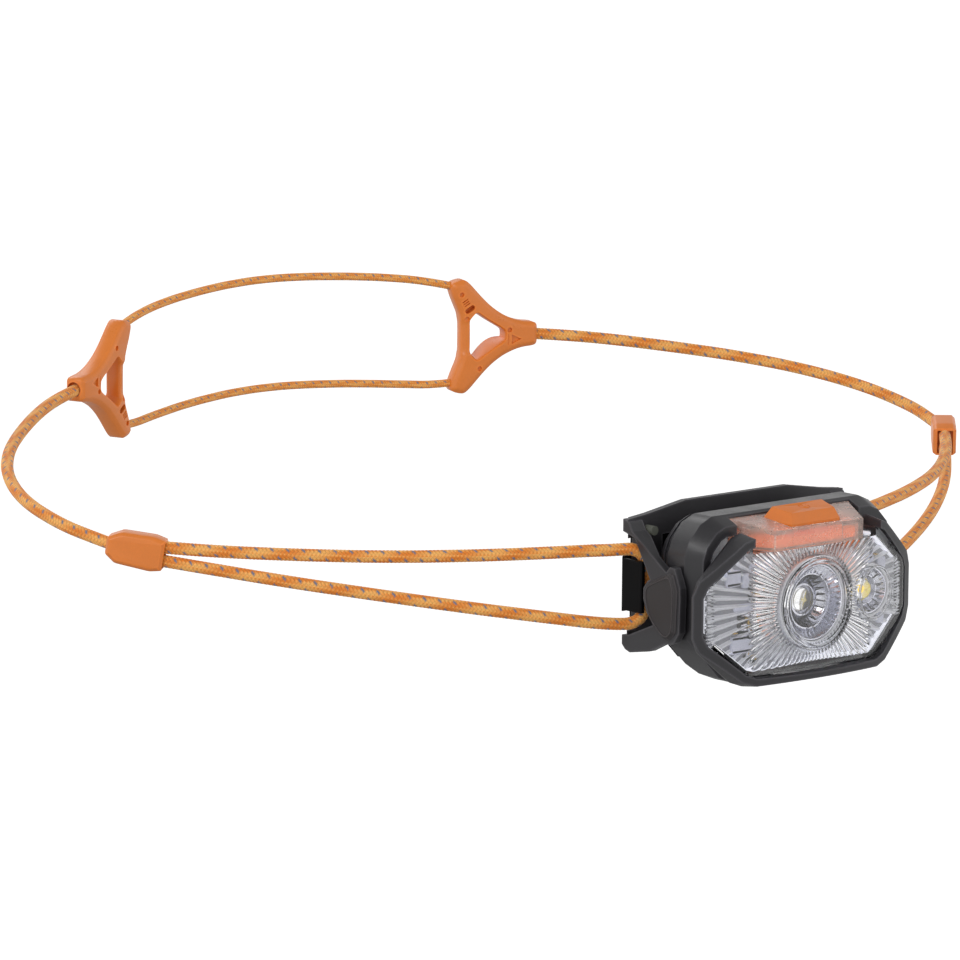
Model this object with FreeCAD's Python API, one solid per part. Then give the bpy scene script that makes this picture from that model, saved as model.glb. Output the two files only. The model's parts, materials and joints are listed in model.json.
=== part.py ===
"""Cord-headband headlamp: a tilting lamp in a two-armed bracket, on a band of thin cords.

Millimetres.  The lamp faces -Y, +Z is up and +X is the wearer's left.  The origin is the
centre of the forehead plate's rear face, where the lamp rests on the head.
"""
import FreeCAD, Part
import math
import os

V = FreeCAD.Vector

# ---------------------------------------------------------------- driving dimensions
BEZEL_HALF = 25.1           # half width of the bezel
BEZEL_TOP = 10.0
BEZEL_BOTTOM = -16.3
BEZEL_CORNERS = [(15.5, BEZEL_BOTTOM), (BEZEL_HALF, -8.6), (BEZEL_HALF, 1.6), (15.4, BEZEL_TOP)]
BEZEL_FRONT = -24.4         # front of the bezel on the middle plane
BEZEL_RADIUS = 58.0         # plan radius of the bezel's front
BEZEL_LIP = 1.8             # width of the rim round the lens
BEZEL_REAR = -17.5
BEZEL_WEB = -16.9           # rear of the thin web that hides the lens's edge

HOUSING_HALF = 23.0
HOUSING_TOP = 12.2
HOUSING_BOTTOM = -15.9
HOUSING_CORNERS = [(16.0, HOUSING_BOTTOM), (HOUSING_HALF, -8.8), (HOUSING_HALF, 7.4), (18.4, HOUSING_TOP)]
SHOULDER = -14.3            # where the front housing starts to slope in towards the bezel
SEAM_FRONT = -9.4          # rear end of the front housing
SEAM_REAR = -9.05           # front end of the rear housing
HOUSING_REAR = -5.4
WALL = 1.4                  # moulded wall thickness of the housings
CORNER_CUT = 1.5            # how far each corner of an outline is cut back

LENS_FRONT = -22.8
LENS_RADIUS = 86.0
LENS_WALL = 1.3
MAIN_X, SPOT_X, OPTIC_Z = 0.0, 14.4, -3.2
MAIN_R, SPOT_R = 7.4, 4.1
MAIN_FRONT, SPOT_FRONT = -21.0, -19.3

BLOCK_FRONT, BLOCK_BACK = -22.8, -15.1       # translucent block over the lens
BLOCK_FRONT_HALF, BLOCK_BACK_HALF = 10.1, 13.9
BLOCK_BOTTOM, BLOCK_FRONT_TOP, BLOCK_BACK_TOP = 6.6, 10.1, 11.6
BUTTON_TRAVEL = 0.8
BUTTON_BOTTOM = 9.5

BOARD_FRONT, BOARD_BACK = -15.3, -14.3
SCREW_PLACES = [(x, z) for x in (-20.0, 20.0) for z in (-7.0, 4.0)]
BOSS_R, SCREW_HOLE_R = 1.6, 0.75
SCREW_HEAD_R, SCREW_SEAT = 1.25, -7.4

PIVOT_Y, PIVOT_Z = -11.0, -2.6
PIVOT_R = 1.5
PIVOT_GAP = 0.08            # radial running clearance
TILT_MAX = 45.0
ARM_IN, ARM_OUT = 23.5, 24.9

PLATE_BACK, PLATE_FRONT = 0.0, -1.2          # forehead plate
BACK_WALL_FRONT = -2.4                        # front face of the bracket's wall

CORD_D = 2.1
REAR_CORD_D = 1.45
BORE_GAP = 0.06             # radial gap between a cord and the bore that holds it

PORT_Y = -14.7              # middle of the charging socket
FLAP_HINGE_Y, FLAP_HINGE_Z = -16.3, -15.6
FLAP_TOP = -15.3


# ---------------------------------------------------------------- helpers
def face_of(points):
    return Part.Face(Part.makePolygon(points + [points[0]]))


def prism_x(yz, x0, x1):
    return face_of([V(x0, y, z) for y, z in yz]).extrude(V(x1 - x0, 0, 0))


def prism_y(xz, y0, y1):
    return face_of([V(x, y0, z) for x, z in xz]).extrude(V(0, y1 - y0, 0))


def prism_z(xy, z0, z1):
    return face_of([V(x, y, z0) for x, y in xy]).extrude(V(0, 0, z1 - z0))


def box(x0, x1, y0, y1, z0, z1):
    return Part.makeBox(x1 - x0, y1 - y0, z1 - z0, V(x0, y0, z0))


def rod_x(y, z, r, x0, x1):
    return Part.makeCylinder(r, x1 - x0, V(x0, y, z), V(1, 0, 0))


def rod_y(x, z, r, y0, y1):
    return Part.makeCylinder(r, y1 - y0, V(x, y0, z), V(0, 1, 0))


def cone_y(x, z, r0, r1, y0, y1):
    return Part.makeCone(r0, r1, y1 - y0, V(x, y0, z), V(0, 1, 0))


def mirrored(shape):
    return shape.mirror(V(0, 0, 0), V(1, 0, 0))


def cut_corners(points, cut):
    """A polygon's points with each corner replaced by two, a little way along its sides."""
    out = []
    n = len(points)
    for i, p in enumerate(points):
        for q in (points[i - 1], points[(i + 1) % n]):
            d = math.hypot(q[0] - p[0], q[1] - p[1])
            t = min(cut, 0.4 * d) / d
            out.append((p[0] + (q[0] - p[0]) * t, p[1] + (q[1] - p[1]) * t))
    return out


def inset(points, by):
    """A convex counter-clockwise polygon moved inwards by the same distance on every side."""
    n = len(points)
    lines = []
    for i in range(n):
        (x0, y0), (x1, y1) = points[i], points[(i + 1) % n]
        d = math.hypot(x1 - x0, y1 - y0)
        nx, ny = -(y1 - y0) / d, (x1 - x0) / d
        lines.append((nx, ny, nx * x0 + ny * y0 + by))
    out = []
    for i in range(n):
        a, b, c = lines[i - 1]
        d, e, f = lines[i]
        det = a * e - b * d
        out.append(((c * e - b * f) / det, (a * f - c * d) / det))
    return out


def outline(corners):
    """A left-right symmetric outline, counter-clockwise, from the corners of its +X half."""
    full = corners + [(-x, z) for x, z in reversed(corners)]
    return cut_corners(full, CORNER_CUT)


def tapered(points, stations):
    """A body through the same outline at several depths, each with its own inset."""
    body = None
    for (y0, in0), (y1, in1) in zip(stations, stations[1:]):
        wires = []
        for y, by in ((y0, in0), (y1, in1)):
            ring = [V(x, y, z) for x, z in inset(points, by)]
            wires.append(Part.makePolygon(ring + [ring[0]]))
        piece = Part.makeLoft(wires, True, True)
        body = piece if body is None else body.fuse(piece)
    return body.removeSplitter()


def behind_curve(front, radius):
    """Everything behind an upright cylinder whose foremost line is at y = front."""
    return Part.makeCylinder(radius, 60, V(0, front + radius, -30))


def rounded(points, radius):
    """The points of a wire with straight runs and arcs of at most the given radius."""
    edges = []
    n = len(points)
    starts = []
    for i, p in enumerate(points):
        a, b = points[i - 1], points[(i + 1) % n]
        u, w = (a - p), (b - p)
        half = u.getAngle(w) / 2
        back = min(radius / math.tan(half), 0.45 * u.Length, 0.45 * w.Length)
        u.normalize()
        w.normalize()
        bis = u + w
        bis.normalize()
        r = back * math.tan(half)
        centre = p + bis * (r / math.sin(half))
        starts.append((p + u * back, centre - bis * r, p + w * back))
    for i, (a, mid, b) in enumerate(starts):
        edges.append(Part.Arc(a, mid, b).toShape())
        following = starts[(i + 1) % n][0]
        if (following - b).Length > 1e-6:
            edges.append(Part.LineSegment(b, following).toShape())
    return Part.Wire(edges)


def cord_tube(name, points, diameter):
    """A round tube along straight runs joined by tangent arcs."""
    pts = [V(*p) for p in points]
    edges = []
    radii = []
    start = pts[0]
    for i in range(1, len(pts) - 1):
        a, p, b = pts[i - 1], pts[i], pts[i + 1]
        u, w = a - p, b - p
        half_turn = (math.pi - u.getAngle(w)) / 2
        back = 0.45 * min(u.Length, w.Length)
        radius = back / math.tan(half_turn)
        radii.append(radius)
        u.normalize()
        w.normalize()
        bis = u + w
        bis.normalize()
        into, out = p + u * back, p + w * back
        centre = p + bis * (radius / math.cos(half_turn))
        edges.append(Part.LineSegment(start, into).toShape())
        edges.append(Part.Arc(into, centre - bis * radius, out).toShape())
        start = out
    edges.append(Part.LineSegment(start, pts[-1]).toShape())
    path = Part.Wire(edges)
    circle = Part.Wire(Part.makeCircle(diameter / 2, pts[0], pts[1] - pts[0]))
    tube = path.makePipeShell([circle], True, True)
    ratio = tube.Volume / (math.pi * diameter ** 2 / 4 * path.Length)
    print(f"{name}: length {path.Length:.1f} mm, volume ratio {ratio:.4f}, smallest radius {min(radii):.2f} mm,"
          f" radii {[round(r, 1) for r in radii]}")
    return tube


# ---------------------------------------------------------------- lamp: casing
def tilt_relief(depth=0.0):
    """The wedge under the rear of the lamp that lets it swing down past the bracket.

    A depth moves its sloping face that far into the lamp.
    """
    reach = BACK_WALL_FRONT - 0.5 - PIVOT_Y            # from the pivot to the sloping face
    up = (depth - reach) * math.sqrt(2) + PIVOT_Z - PIVOT_Y
    return prism_x([(-15.0, -15.0 + up), (-3.0, -3.0 + up), (-3.0, -24.0), (-15.0, -24.0)], -30, 30)


def front_bezel():
    points = outline(BEZEL_CORNERS)
    body = tapered(points, [(-27.0, 1.1), (-19.0, 0.0), (-18.3, 0.15), (BEZEL_REAR, 1.0)])
    body = body.fuse(prism_y(inset(points, 1.7), BEZEL_REAR, BEZEL_WEB))
    body = body.common(behind_curve(BEZEL_FRONT, BEZEL_RADIUS))
    body = body.cut(prism_y(inset(points, BEZEL_LIP), -28, BEZEL_REAR))
    body = body.cut(front_casing(0.1))
    gap = BLOCK_BACK_HALF + 0.6
    return body.cut(box(-gap, gap, -28, -16, 6.3, 15)).removeSplitter()


def front_casing(grow=0.0):
    """The outside of the front housing, whose sides and top slope in towards the bezel."""
    points = outline(HOUSING_CORNERS)
    front = BEZEL_REAR - (0.02 if grow else 0.0)
    body = tapered(points, [(front, 1.1 - grow), (-16.7, -grow), (-10.2, -grow), (SEAM_FRONT, 0.35 - grow)])
    upper = tapered(points, [(-18.0, 1.6 - grow), (SHOULDER, -grow), (-9.0, -grow)])
    wide, slim = HOUSING_HALF + grow, HOUSING_HALF - 1.6 + grow
    plan = [(wide, -9.0), (wide, SHOULDER), (slim, -18.0), (-slim, -18.0), (-wide, SHOULDER), (-wide, -9.0)]
    lower = prism_z(plan, -20, -6)
    return body.common(upper.cut(box(-30, 30, -20, -5, -20, -6))).fuse(body.common(lower)).removeSplitter()


def front_housing():
    points = outline(HOUSING_CORNERS)
    body = front_casing().cut(tilt_relief())
    hollow = tapered(points, [(BEZEL_REAR - 1, WALL + 2.1), (SHOULDER, WALL + 0.3), (SEAM_FRONT + 1, WALL + 0.3)])
    body = body.cut(hollow.cut(tilt_relief(WALL)))
    for x, z in SCREW_PLACES:
        body = body.fuse(rod_y(x, z, BOSS_R, BOARD_BACK + 0.1, SEAM_FRONT))
    for x, z in SCREW_PLACES:
        body = body.cut(rod_y(x, z, SCREW_HOLE_R, BOARD_BACK, SEAM_FRONT + 1))
    half = BLOCK_BACK_HALF + 0.15
    body = body.cut(box(-half, half, BEZEL_REAR - 1, BLOCK_BACK + 0.05, 6.0, 14))
    body = body.cut(box(-6.7, 6.7, FLAP_HINGE_Y - 0.45, -12.2, -17, FLAP_TOP + 0.1))     # recess for the port cover
    return body.cut(box(-4.75, 4.75, PORT_Y - 1.55, PORT_Y + 1.55, -17, -12))


def housing_seal():
    points = outline(HOUSING_CORNERS)
    whole = prism_y(inset(points, 0.75), SEAM_FRONT, SEAM_REAR).cut(tilt_relief(0.4))
    hollow = prism_y(inset(points, 1.7), SEAM_FRONT - 1, SEAM_REAR + 1).cut(tilt_relief(1.4))
    return whole.cut(hollow)


def rear_housing():
    points = outline(HOUSING_CORNERS)
    body = tapered(points, [(SEAM_REAR, 0.3), (-7.8, 0.9), (-6.3, 2.2), (HOUSING_REAR, 4.0)])
    body = body.cut(tilt_relief())
    hollow = tapered(points, [(SEAM_REAR - 1, WALL + 0.3), (-8.0, WALL + 0.9), (HOUSING_REAR - WALL, 4.2)])
    body = body.cut(hollow.cut(tilt_relief(WALL)))
    for x, z in SCREW_PLACES:
        boss = rod_y(x, z, BOSS_R, SEAM_REAR, HOUSING_REAR - 1.5)
        body = body.fuse(boss)
    for x, z in SCREW_PLACES:
        body = body.cut(rod_y(x, z, SCREW_HOLE_R, SEAM_REAR - 1, -6))
        body = body.cut(rod_y(x, z, SCREW_HEAD_R + 0.1, SCREW_SEAT, -4))
    return body.removeSplitter()


def lens():
    points = inset(outline(BEZEL_CORNERS), BEZEL_LIP + 0.05)
    body = prism_y(points, -28, BEZEL_REAR - 0.05).common(behind_curve(LENS_FRONT, LENS_RADIUS))
    hollow = prism_y(inset(points, 1.2), -28, BEZEL_REAR + 1)
    hollow = hollow.common(behind_curve(LENS_FRONT + LENS_WALL, LENS_RADIUS))
    body = body.cut(hollow)
    half = BLOCK_BACK_HALF + 0.3
    body = body.cut(box(-half, half, -28, -10, BLOCK_BOTTOM - 0.05, 15))
    ring = rod_y(MAIN_X, OPTIC_Z, MAIN_R + 0.3, LENS_FRONT - 0.7, LENS_FRONT + 0.9)
    ring = ring.cut(rod_y(MAIN_X, OPTIC_Z, MAIN_R - 0.7, LENS_FRONT - 2, LENS_FRONT + 2))
    return body.fuse(ring).removeSplitter()


def light_guide():
    plan = [(-BLOCK_FRONT_HALF, BLOCK_FRONT), (BLOCK_FRONT_HALF, BLOCK_FRONT), (BLOCK_BACK_HALF, BLOCK_BACK),
            (-BLOCK_BACK_HALF, BLOCK_BACK)]
    slope = (BLOCK_BACK_TOP - BLOCK_FRONT_TOP) / (BLOCK_BACK - BLOCK_FRONT)

    def under(drop, reach):
        front, back = BLOCK_FRONT - reach, BLOCK_BACK + reach
        return prism_x([(front, 0), (back, 0), (back, BLOCK_BACK_TOP - drop + slope * reach),
                        (front, BLOCK_FRONT_TOP - drop - slope * reach)], -20, 20)

    body = prism_z(plan, BLOCK_BOTTOM, 14).common(under(0, 1))
    body = body.cut(prism_z(inset(plan, 1.0), 0, 14).common(under(1.0, 1)))
    return body.cut(button_prism(0.2, 6.0))


def button_prism(grow, bottom):
    """The button's tapered four-sided body, from the given height up."""
    low = [(-5.5, -21.8), (5.5, -21.8), (7.2, -15.95), (-7.2, -15.95)]
    wires = []
    for z, by in ((bottom, -grow - 0.02 * (10.6 - bottom)), (10.6, -grow), (15.4, -grow + 2.2)):
        ring = [V(x, y, z) for x, y in inset(low, by)]
        wires.append(Part.makePolygon(ring + [ring[0]]))
    return Part.makeLoft(wires[:2], True, True).fuse(Part.makeLoft(wires[1:], True, True))


def button():
    body = button_prism(0, BUTTON_BOTTOM)
    body = body.common(prism_x([(-23, 5), (-15, 5), (-15, 13.45), (-23, 11.95)], -9, 9))
    stem = Part.makeCylinder(1.1, BUTTON_BOTTOM - 7.3, V(0, -17.4, 7.3))
    return body.fuse(stem).removeSplitter()


def button_membrane():
    """The soft orange bed under the button, seen through the translucent block."""
    plan = [(-8.9, -21.6), (8.9, -21.6), (12.0, -16.3), (-12.0, -16.3)]
    body = prism_z(plan, 7.0, 8.6)
    return body.cut(Part.makeCylinder(1.5, 4, V(0, -17.4, 6)))


# ---------------------------------------------------------------- lamp: optics and electronics
def reflector():
    """A bright tray behind the lens, with a wall round each optic."""
    points = inset(outline(BEZEL_CORNERS), BEZEL_LIP + 1.5)
    body = prism_y(points, -18.4, -17.8)
    body = body.cut(box(-15, 15, -30, -10, 6.0, 15))
    body = body.cut(box(-2.4, 2.4, -30, -10, 5.0, 15))
    for x, r, front in ((MAIN_X, MAIN_R + 0.2, -19.4), (SPOT_X, SPOT_R + 0.2, -18.9)):
        wall = rod_y(x, OPTIC_Z, r + 0.5, front, -17.8)
        body = body.fuse(wall)
    for x, r in ((MAIN_X, MAIN_R + 0.2), (SPOT_X, SPOT_R + 0.2)):
        body = body.cut(rod_y(x, OPTIC_Z, r, -21, -16))
    return body.removeSplitter()


def collimator(x, radius, front, back):
    """A clear light-collecting cup that stands over its emitter."""
    body = cone_y(x, OPTIC_Z, radius, radius * 0.48, front + 0.6, back)
    body = body.fuse(rod_y(x, OPTIC_Z, radius, front, front + 0.6))
    return body.cut(rod_y(x, OPTIC_Z, radius * 0.3, back - 1.6, back + 1)).removeSplitter()


def led(x, half, back):
    """A square emitter with its dome."""
    body = box(x - half, x + half, back - 0.5, back, OPTIC_Z - half, OPTIC_Z + half)
    dome = Part.makeSphere(half * 0.7, V(x, back - 0.5, OPTIC_Z))
    return body.fuse(dome.cut(box(x - 5, x + 5, back - 0.4, back + 5, -20, 20)))


def side_leds():
    """The small flood and signal emitters round the main optic."""
    places = [(-18.5, -6.8), (-18.5, 0.6), (-13.6, -9.6), (-12.6, 4.0), (18.2, -8.2), (13.5, 4.2)]
    return Part.makeCompound([box(x - 1.1, x + 1.1, BOARD_FRONT - 0.7, BOARD_FRONT, z - 0.8, z + 0.8)
                              for x, z in places])


def circuit_board():
    points = inset(outline(HOUSING_CORNERS), WALL + 1.1)
    body = prism_y(points, BOARD_FRONT, BOARD_BACK).cut(box(-14.2, 14.2, -17, -12, 6.4, 14))
    return body.cut(box(-4.8, 4.8, -17, -12, -16, -8.1))                # room for the charging socket


def tact_switch():
    body = box(-2.1, 2.1, -19.0, -15.8, 5.1, 6.2)
    return body.fuse(Part.makeCylinder(0.9, 0.25, V(0, -17.4, 6.2)))


def battery_cell():
    cell = box(-16.8, 16.8, -13.2, -7.6, -7.2, 6.8)
    upright = [e for e in cell.Edges if abs(e.Length - 5.6) < 1e-3]
    return cell.makeFillet(1.0, upright)


def battery_cradle():
    """A frame round the cell that fixes it to the board."""
    half = [(18.0, -7.9), (18.0, 6.2), (16.2, 7.9)]
    outer = prism_y([(-x, z) for x, z in reversed(half)] + half, BOARD_BACK, -11.4)
    inner = box(-17.0, 17.0, -13.3, -11.0, -7.3, 7.1)
    return outer.cut(inner).cut(box(-14, 14, -15, -11, -6.0, 6.0))


def charging_port():
    """A small oval socket whose mouth looks down through the casing's floor."""
    shell = box(-4.5, 4.5, PORT_Y - 1.45, PORT_Y + 1.45, -15.1, -8.3)
    mouth = box(-4.15, 4.15, PORT_Y - 1.15, PORT_Y + 1.2, -15.2, -9.4)
    tongue = box(-3.3, 3.3, PORT_Y - 0.3, PORT_Y + 0.35, -13.6, -9.4)
    return shell.cut(mouth).fuse(tongue).removeSplitter()


def port_cover():
    """A rubber flap hinged along its front edge, with a shallow plug for the socket."""
    flap = box(-6.5, 6.5, FLAP_HINGE_Y, -12.4, HOUSING_BOTTOM, FLAP_TOP).cut(tilt_relief(0.05))
    barrel = rod_x(FLAP_HINGE_Y, FLAP_HINGE_Z, 0.3, -6.3, 6.3)
    plug = box(-3.8, 3.8, PORT_Y - 0.9, PORT_Y + 0.5, FLAP_TOP, -14.5)
    return flap.fuse([barrel, plug]).removeSplitter()


def casing_screws():
    """Four small screws, driven from behind, with a cross recess in each head."""
    screws = []
    for x, z in SCREW_PLACES:
        head = rod_y(x, z, SCREW_HEAD_R, SCREW_SEAT, SCREW_SEAT + 0.9)
        screw = head.fuse(rod_y(x, z, SCREW_HOLE_R - 0.05, -13.8, SCREW_SEAT))
        for wide, high in ((0.8, 0.2), (0.2, 0.8)):
            screw = screw.cut(box(x - wide, x + wide, SCREW_SEAT + 0.45, SCREW_SEAT + 2, z - high, z + high))
        screws.append(screw.removeSplitter())
    return Part.makeCompound(screws)


# ---------------------------------------------------------------- pivots
def pivot_pins():
    pin = rod_x(PIVOT_Y, PIVOT_Z, PIVOT_R, HOUSING_HALF, ARM_OUT - 0.35)
    return Part.makeCompound([pin, mirrored(pin)])


def friction_washer():
    ring = rod_x(PIVOT_Y, PIVOT_Z, 2.4, HOUSING_HALF + 0.02, ARM_IN - 0.12)
    return ring.cut(rod_x(PIVOT_Y, PIVOT_Z, PIVOT_R + 0.03, 20, 30))


# ---------------------------------------------------------------- bracket
PAD = [(-6.4, -1.9), (-6.4, -0.1), (-7.5, 1.3), (-11.6, 2.9), (-12.8, 4.3), (-14.0, 4.2), (-15.4, 1.0),
       (-15.5, -0.6), (-15.3, -6.6), (-14.1, -8.4), (-12.8, -8.9), (-11.5, -8.5), (-9.8, -7.2), (-7.2, -4.1)]
LABEL = [(-12.8, 3.3), (-7.6, 1.0), (-6.9, -0.3), (-6.9, -1.9), (-8.0, -4.9), (-11.3, -7.9), (-13.0, -8.2),
         (-14.6, -6.7), (-14.9, 0.5), (-13.9, 3.2)]
UPPER_STRUT = [(-1.2, 8.8), (-1.2, 10.9), (-2.6, 10.5), (-3.5, 9.0), (-11.8, 3.4), (-12.9, 2.6), (-13.5, 0.0),
               (-8.1, 1.4), (-4.1, 8.0)]
STRUT_INSIDE = [(-1.2, 8.8), (-1.2, 10.9), (-2.6, 10.5), (-3.5, 9.0), (-8.6, 5.55), (-8.6, 4.6), (-6.2, 5.6),
                (-4.9, 7.6), (-3.6, 8.4)]
LOWER_STRUT = [(-1.2, -8.8), (-2.9, -8.6), (-4.6, -7.9), (-8.6, -6.2), (-12.0, -5.0), (-12.8, -8.6),
               (-11.5, -9.0), (-8.1, -10.7), (-3.2, -11.6), (-2.0, -11.2), (-1.2, -10.4)]
WALL_OUTLINE = [(11.8, 12.8), (20.4, 11.4), (ARM_OUT, 10.9), (ARM_OUT, 7.7), (22.9, 7.7), (22.9, -8.0),
                (ARM_OUT, -8.0), (ARM_OUT, -10.4), (20.5, -11.3)]


def arm():
    body = prism_x(PAD, ARM_IN, ARM_OUT)
    body = body.fuse([prism_x(UPPER_STRUT, ARM_IN, ARM_OUT), prism_x(LOWER_STRUT, ARM_IN, ARM_OUT)])
    inside = prism_x(STRUT_INSIDE, 21.8, ARM_IN)
    inside = inside.cut(prism_z([(21.7, -4.5), (23.4, -8.7), (21.7, -8.7)], 0, 12))
    return body.fuse(inside)


def bracket_frame():
    right = WALL_OUTLINE
    wall = prism_y(right + [(-x, z) for x, z in reversed(right)], BACK_WALL_FRONT, PLATE_FRONT)
    wall = wall.cut(box(-17, 17, -5, 0, -7.2, 7.6))
    for side in (-1, 1):                              # the outer rear edges are cut back
        wall = wall.cut(prism_z([(side * x, y) for x, y in ((ARM_OUT, BACK_WALL_FRONT), (ARM_OUT + 1, 0),
                                                            (ARM_OUT - 1.1, PLATE_FRONT))], -15, 15))
    wall = wall.cut(box(-8.5, 8.5, -5, 0, -13, -9.2))                     # room for the open port cover
    body = wall.fuse([arm(), mirrored(arm())])
    hole = rod_x(PIVOT_Y, PIVOT_Z, PIVOT_R + PIVOT_GAP, -ARM_OUT + 0.3, ARM_OUT - 0.3)
    return body.cut(hole).removeSplitter()


def pivot_cover():
    """The raised label face on the outside of an arm's broad end."""
    wires = []
    for x, by in ((ARM_OUT, 0.0), (ARM_OUT + 0.6, 0.5)):
        ring = [V(x, y, z) for y, z in inset(list(reversed(LABEL)), by)]
        wires.append(Part.makePolygon(ring + [ring[0]]))
    return Part.makeLoft(wires, True, True)


def tilt_bumper():
    """A small soft boss on the bracket's wall, beside the lamp's upper corner."""
    return rod_y(20.6, 8.8, 0.8, -4.4, BACK_WALL_FRONT)


def forehead_plate():
    """The soft black plate that lies on the forehead; a cord is hooked round each ear."""
    plan = [(20.5, 10.2), (22.2, 8.6), (22.2, 4.5), (25.05, 4.5), (25.05, -4.9), (22.2, -4.9), (22.2, -8.6),
            (20.5, -10.2)]
    body = prism_y(plan + [(-x, z) for x, z in reversed(plan)], PLATE_FRONT, PLATE_BACK)
    rim = box(-16.9, 16.9, -2.2, PLATE_FRONT, -7.1, 7.5).cut(box(-15.7, 15.7, -3, 1, -5.9, 6.3))
    ear = box(24.05, 25.05, -6.0, PLATE_FRONT, -4.6, 4.2)
    ear = ear.makeFillet(0.35, [e for e in ear.Edges if abs(e.Length - 8.8) < 1e-3 and e.BoundBox.YMin < -5])
    body = body.fuse([rim, ear, mirrored(ear)])
    for side in (-1, 1):                              # the outer rear edges are cut back
        body = body.cut(prism_z([(side * x, y) for x, y in ((25.05, PLATE_FRONT), (26, 0.1), (23.7, 0.1))], -6, 6))
    return body.removeSplitter()


# ---------------------------------------------------------------- band
CLIP_CENTRE = V(-93.9, 42.8, 7.2)
CLIP_FORWARD = V(0.66, -0.735, -0.153)       # from the clip towards the lamp
CLIP_HALF_THICK = 2.1
CLIP_OUTLINE = [(-4.9, -1.3), (-3.1, -2.6), (2.9, -2.95), (4.9, -2.5), (4.9, 2.5), (2.9, 2.95), (-2.6, 2.8), (-4.9, 1.6)]
STRAND_HALF = 1.08                            # half the spacing of the two strands in a clip

ADJUSTER_CENTRE = V(-47.0, 112.7, 21.5)
ADJUSTER_YAW = 20.0                           # degrees that an adjuster turns off the X axis
ADJUSTER_HALF_THICK = 1.9

UPPER_STRAND = [(-91.92, 40.59, 7.82), (-86.9, 35.0, 7.35), (-76.5, 24.7, 6.95), (-63.5, 14.7, 6.5),
                (-50.0, 7.0, 6.3), (-39.0, 2.1, 6.2), (-32.4, -0.6, 6.2), (-28.0, -2.45, 6.1)]
LOWER_STRAND = [(-91.92, 40.59, 5.66), (-86.9, 35.0, 4.6), (-76.5, 24.7, 2.4), (-63.5, 14.7, -0.1),
                (-50.0, 7.0, -2.7), (-39.0, 2.1, -4.7), (-32.4, -0.6, -5.9), (-28.0, -2.45, -6.5)]
ROUND_EAR = [(-24.5, -3.8, 6.2), (-22.8, -4.5, 4.5), (-22.7, -4.6, 1.6), (-22.7, -4.65, -1.8),
             (-22.8, -4.5, -4.9), (-24.5, -3.8, -6.65)]
FRONT_ROUTE = UPPER_STRAND + ROUND_EAR + LOWER_STRAND[::-1]
SIDE_ROUTE = [(-52.6, 110.66, 21.42), (-58.5, 108.3, 20.85), (-66.5, 103.6, 19.9), (-76.0, 96.6, 18.4),
              (-85.5, 88.3, 16.7), (-93.3, 78.6, 14.7), (-98.2, 67.5, 12.35), (-99.0, 56.5, 10.1),
              (-97.4, 49.6, 8.65), (-95.95, 45.09, 7.68)]
UPPER_REAR_HALF = [(40.6, 115.0, 30.3), (34.9, 117.4, 31.9), (25.0, 120.9, 33.2), (13.0, 123.4, 34.1),
                   (4.0, 124.2, 34.5)]
LOWER_REAR_HALF = [(40.8, 114.9, 13.1), (36.0, 116.7, 12.6), (29.0, 119.4, 13.1), (19.0, 122.1, 13.9),
                   (9.5, 123.7, 14.4), (3.2, 124.1, 14.6)]


def both_halves(half):
    return half + [(-x, y, z) for x, y, z in reversed(half)]


def in_frame(shape, centre, along, up):
    """Place a shape drawn along +X, with +Z up, at a centre with its X along a direction."""
    along = V(along)
    along.normalize()
    across = up.cross(along)
    across.normalize()
    top = along.cross(across)
    m = FreeCAD.Matrix(along.x, across.x, top.x, centre.x, along.y, across.y, top.y, centre.y,
                       along.z, across.z, top.z, centre.z, 0, 0, 0, 1)
    return shape.transformGeometry(m)


def cord_bore(start, end, radius):
    """The hole for a cord's end: the first run's line with a little room round it."""
    a, b = V(*start), V(*end)
    d = b - a
    d.normalize()
    return Part.makeCylinder(radius, 20, a, d)


def cord_joiner():
    """The moulded clip where the two strands from the lamp become one cord."""
    wires = []
    for y, by in ((-CLIP_HALF_THICK, 0.6), (-CLIP_HALF_THICK + 0.8, 0.0), (CLIP_HALF_THICK - 0.8, 0.0),
                  (CLIP_HALF_THICK, 0.6)):
        ring = [V(x, y, z) for x, z in inset(CLIP_OUTLINE, by)]
        wires.append(Part.makePolygon(ring + [ring[0]]))
    body = None
    for a, b in zip(wires, wires[1:]):
        piece = Part.makeLoft([a, b], True, True)
        body = piece if body is None else body.fuse(piece)
    body = in_frame(body.removeSplitter(), CLIP_CENTRE, CLIP_FORWARD, V(0, 0, 1))
    r = CORD_D / 2 + BORE_GAP
    body = body.cut(cord_bore(UPPER_STRAND[0], UPPER_STRAND[1], r))
    body = body.cut(cord_bore(LOWER_STRAND[0], LOWER_STRAND[1], r))
    return body.cut(cord_bore(SIDE_ROUTE[-1], SIDE_ROUTE[-2], r)).removeSplitter()


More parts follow.
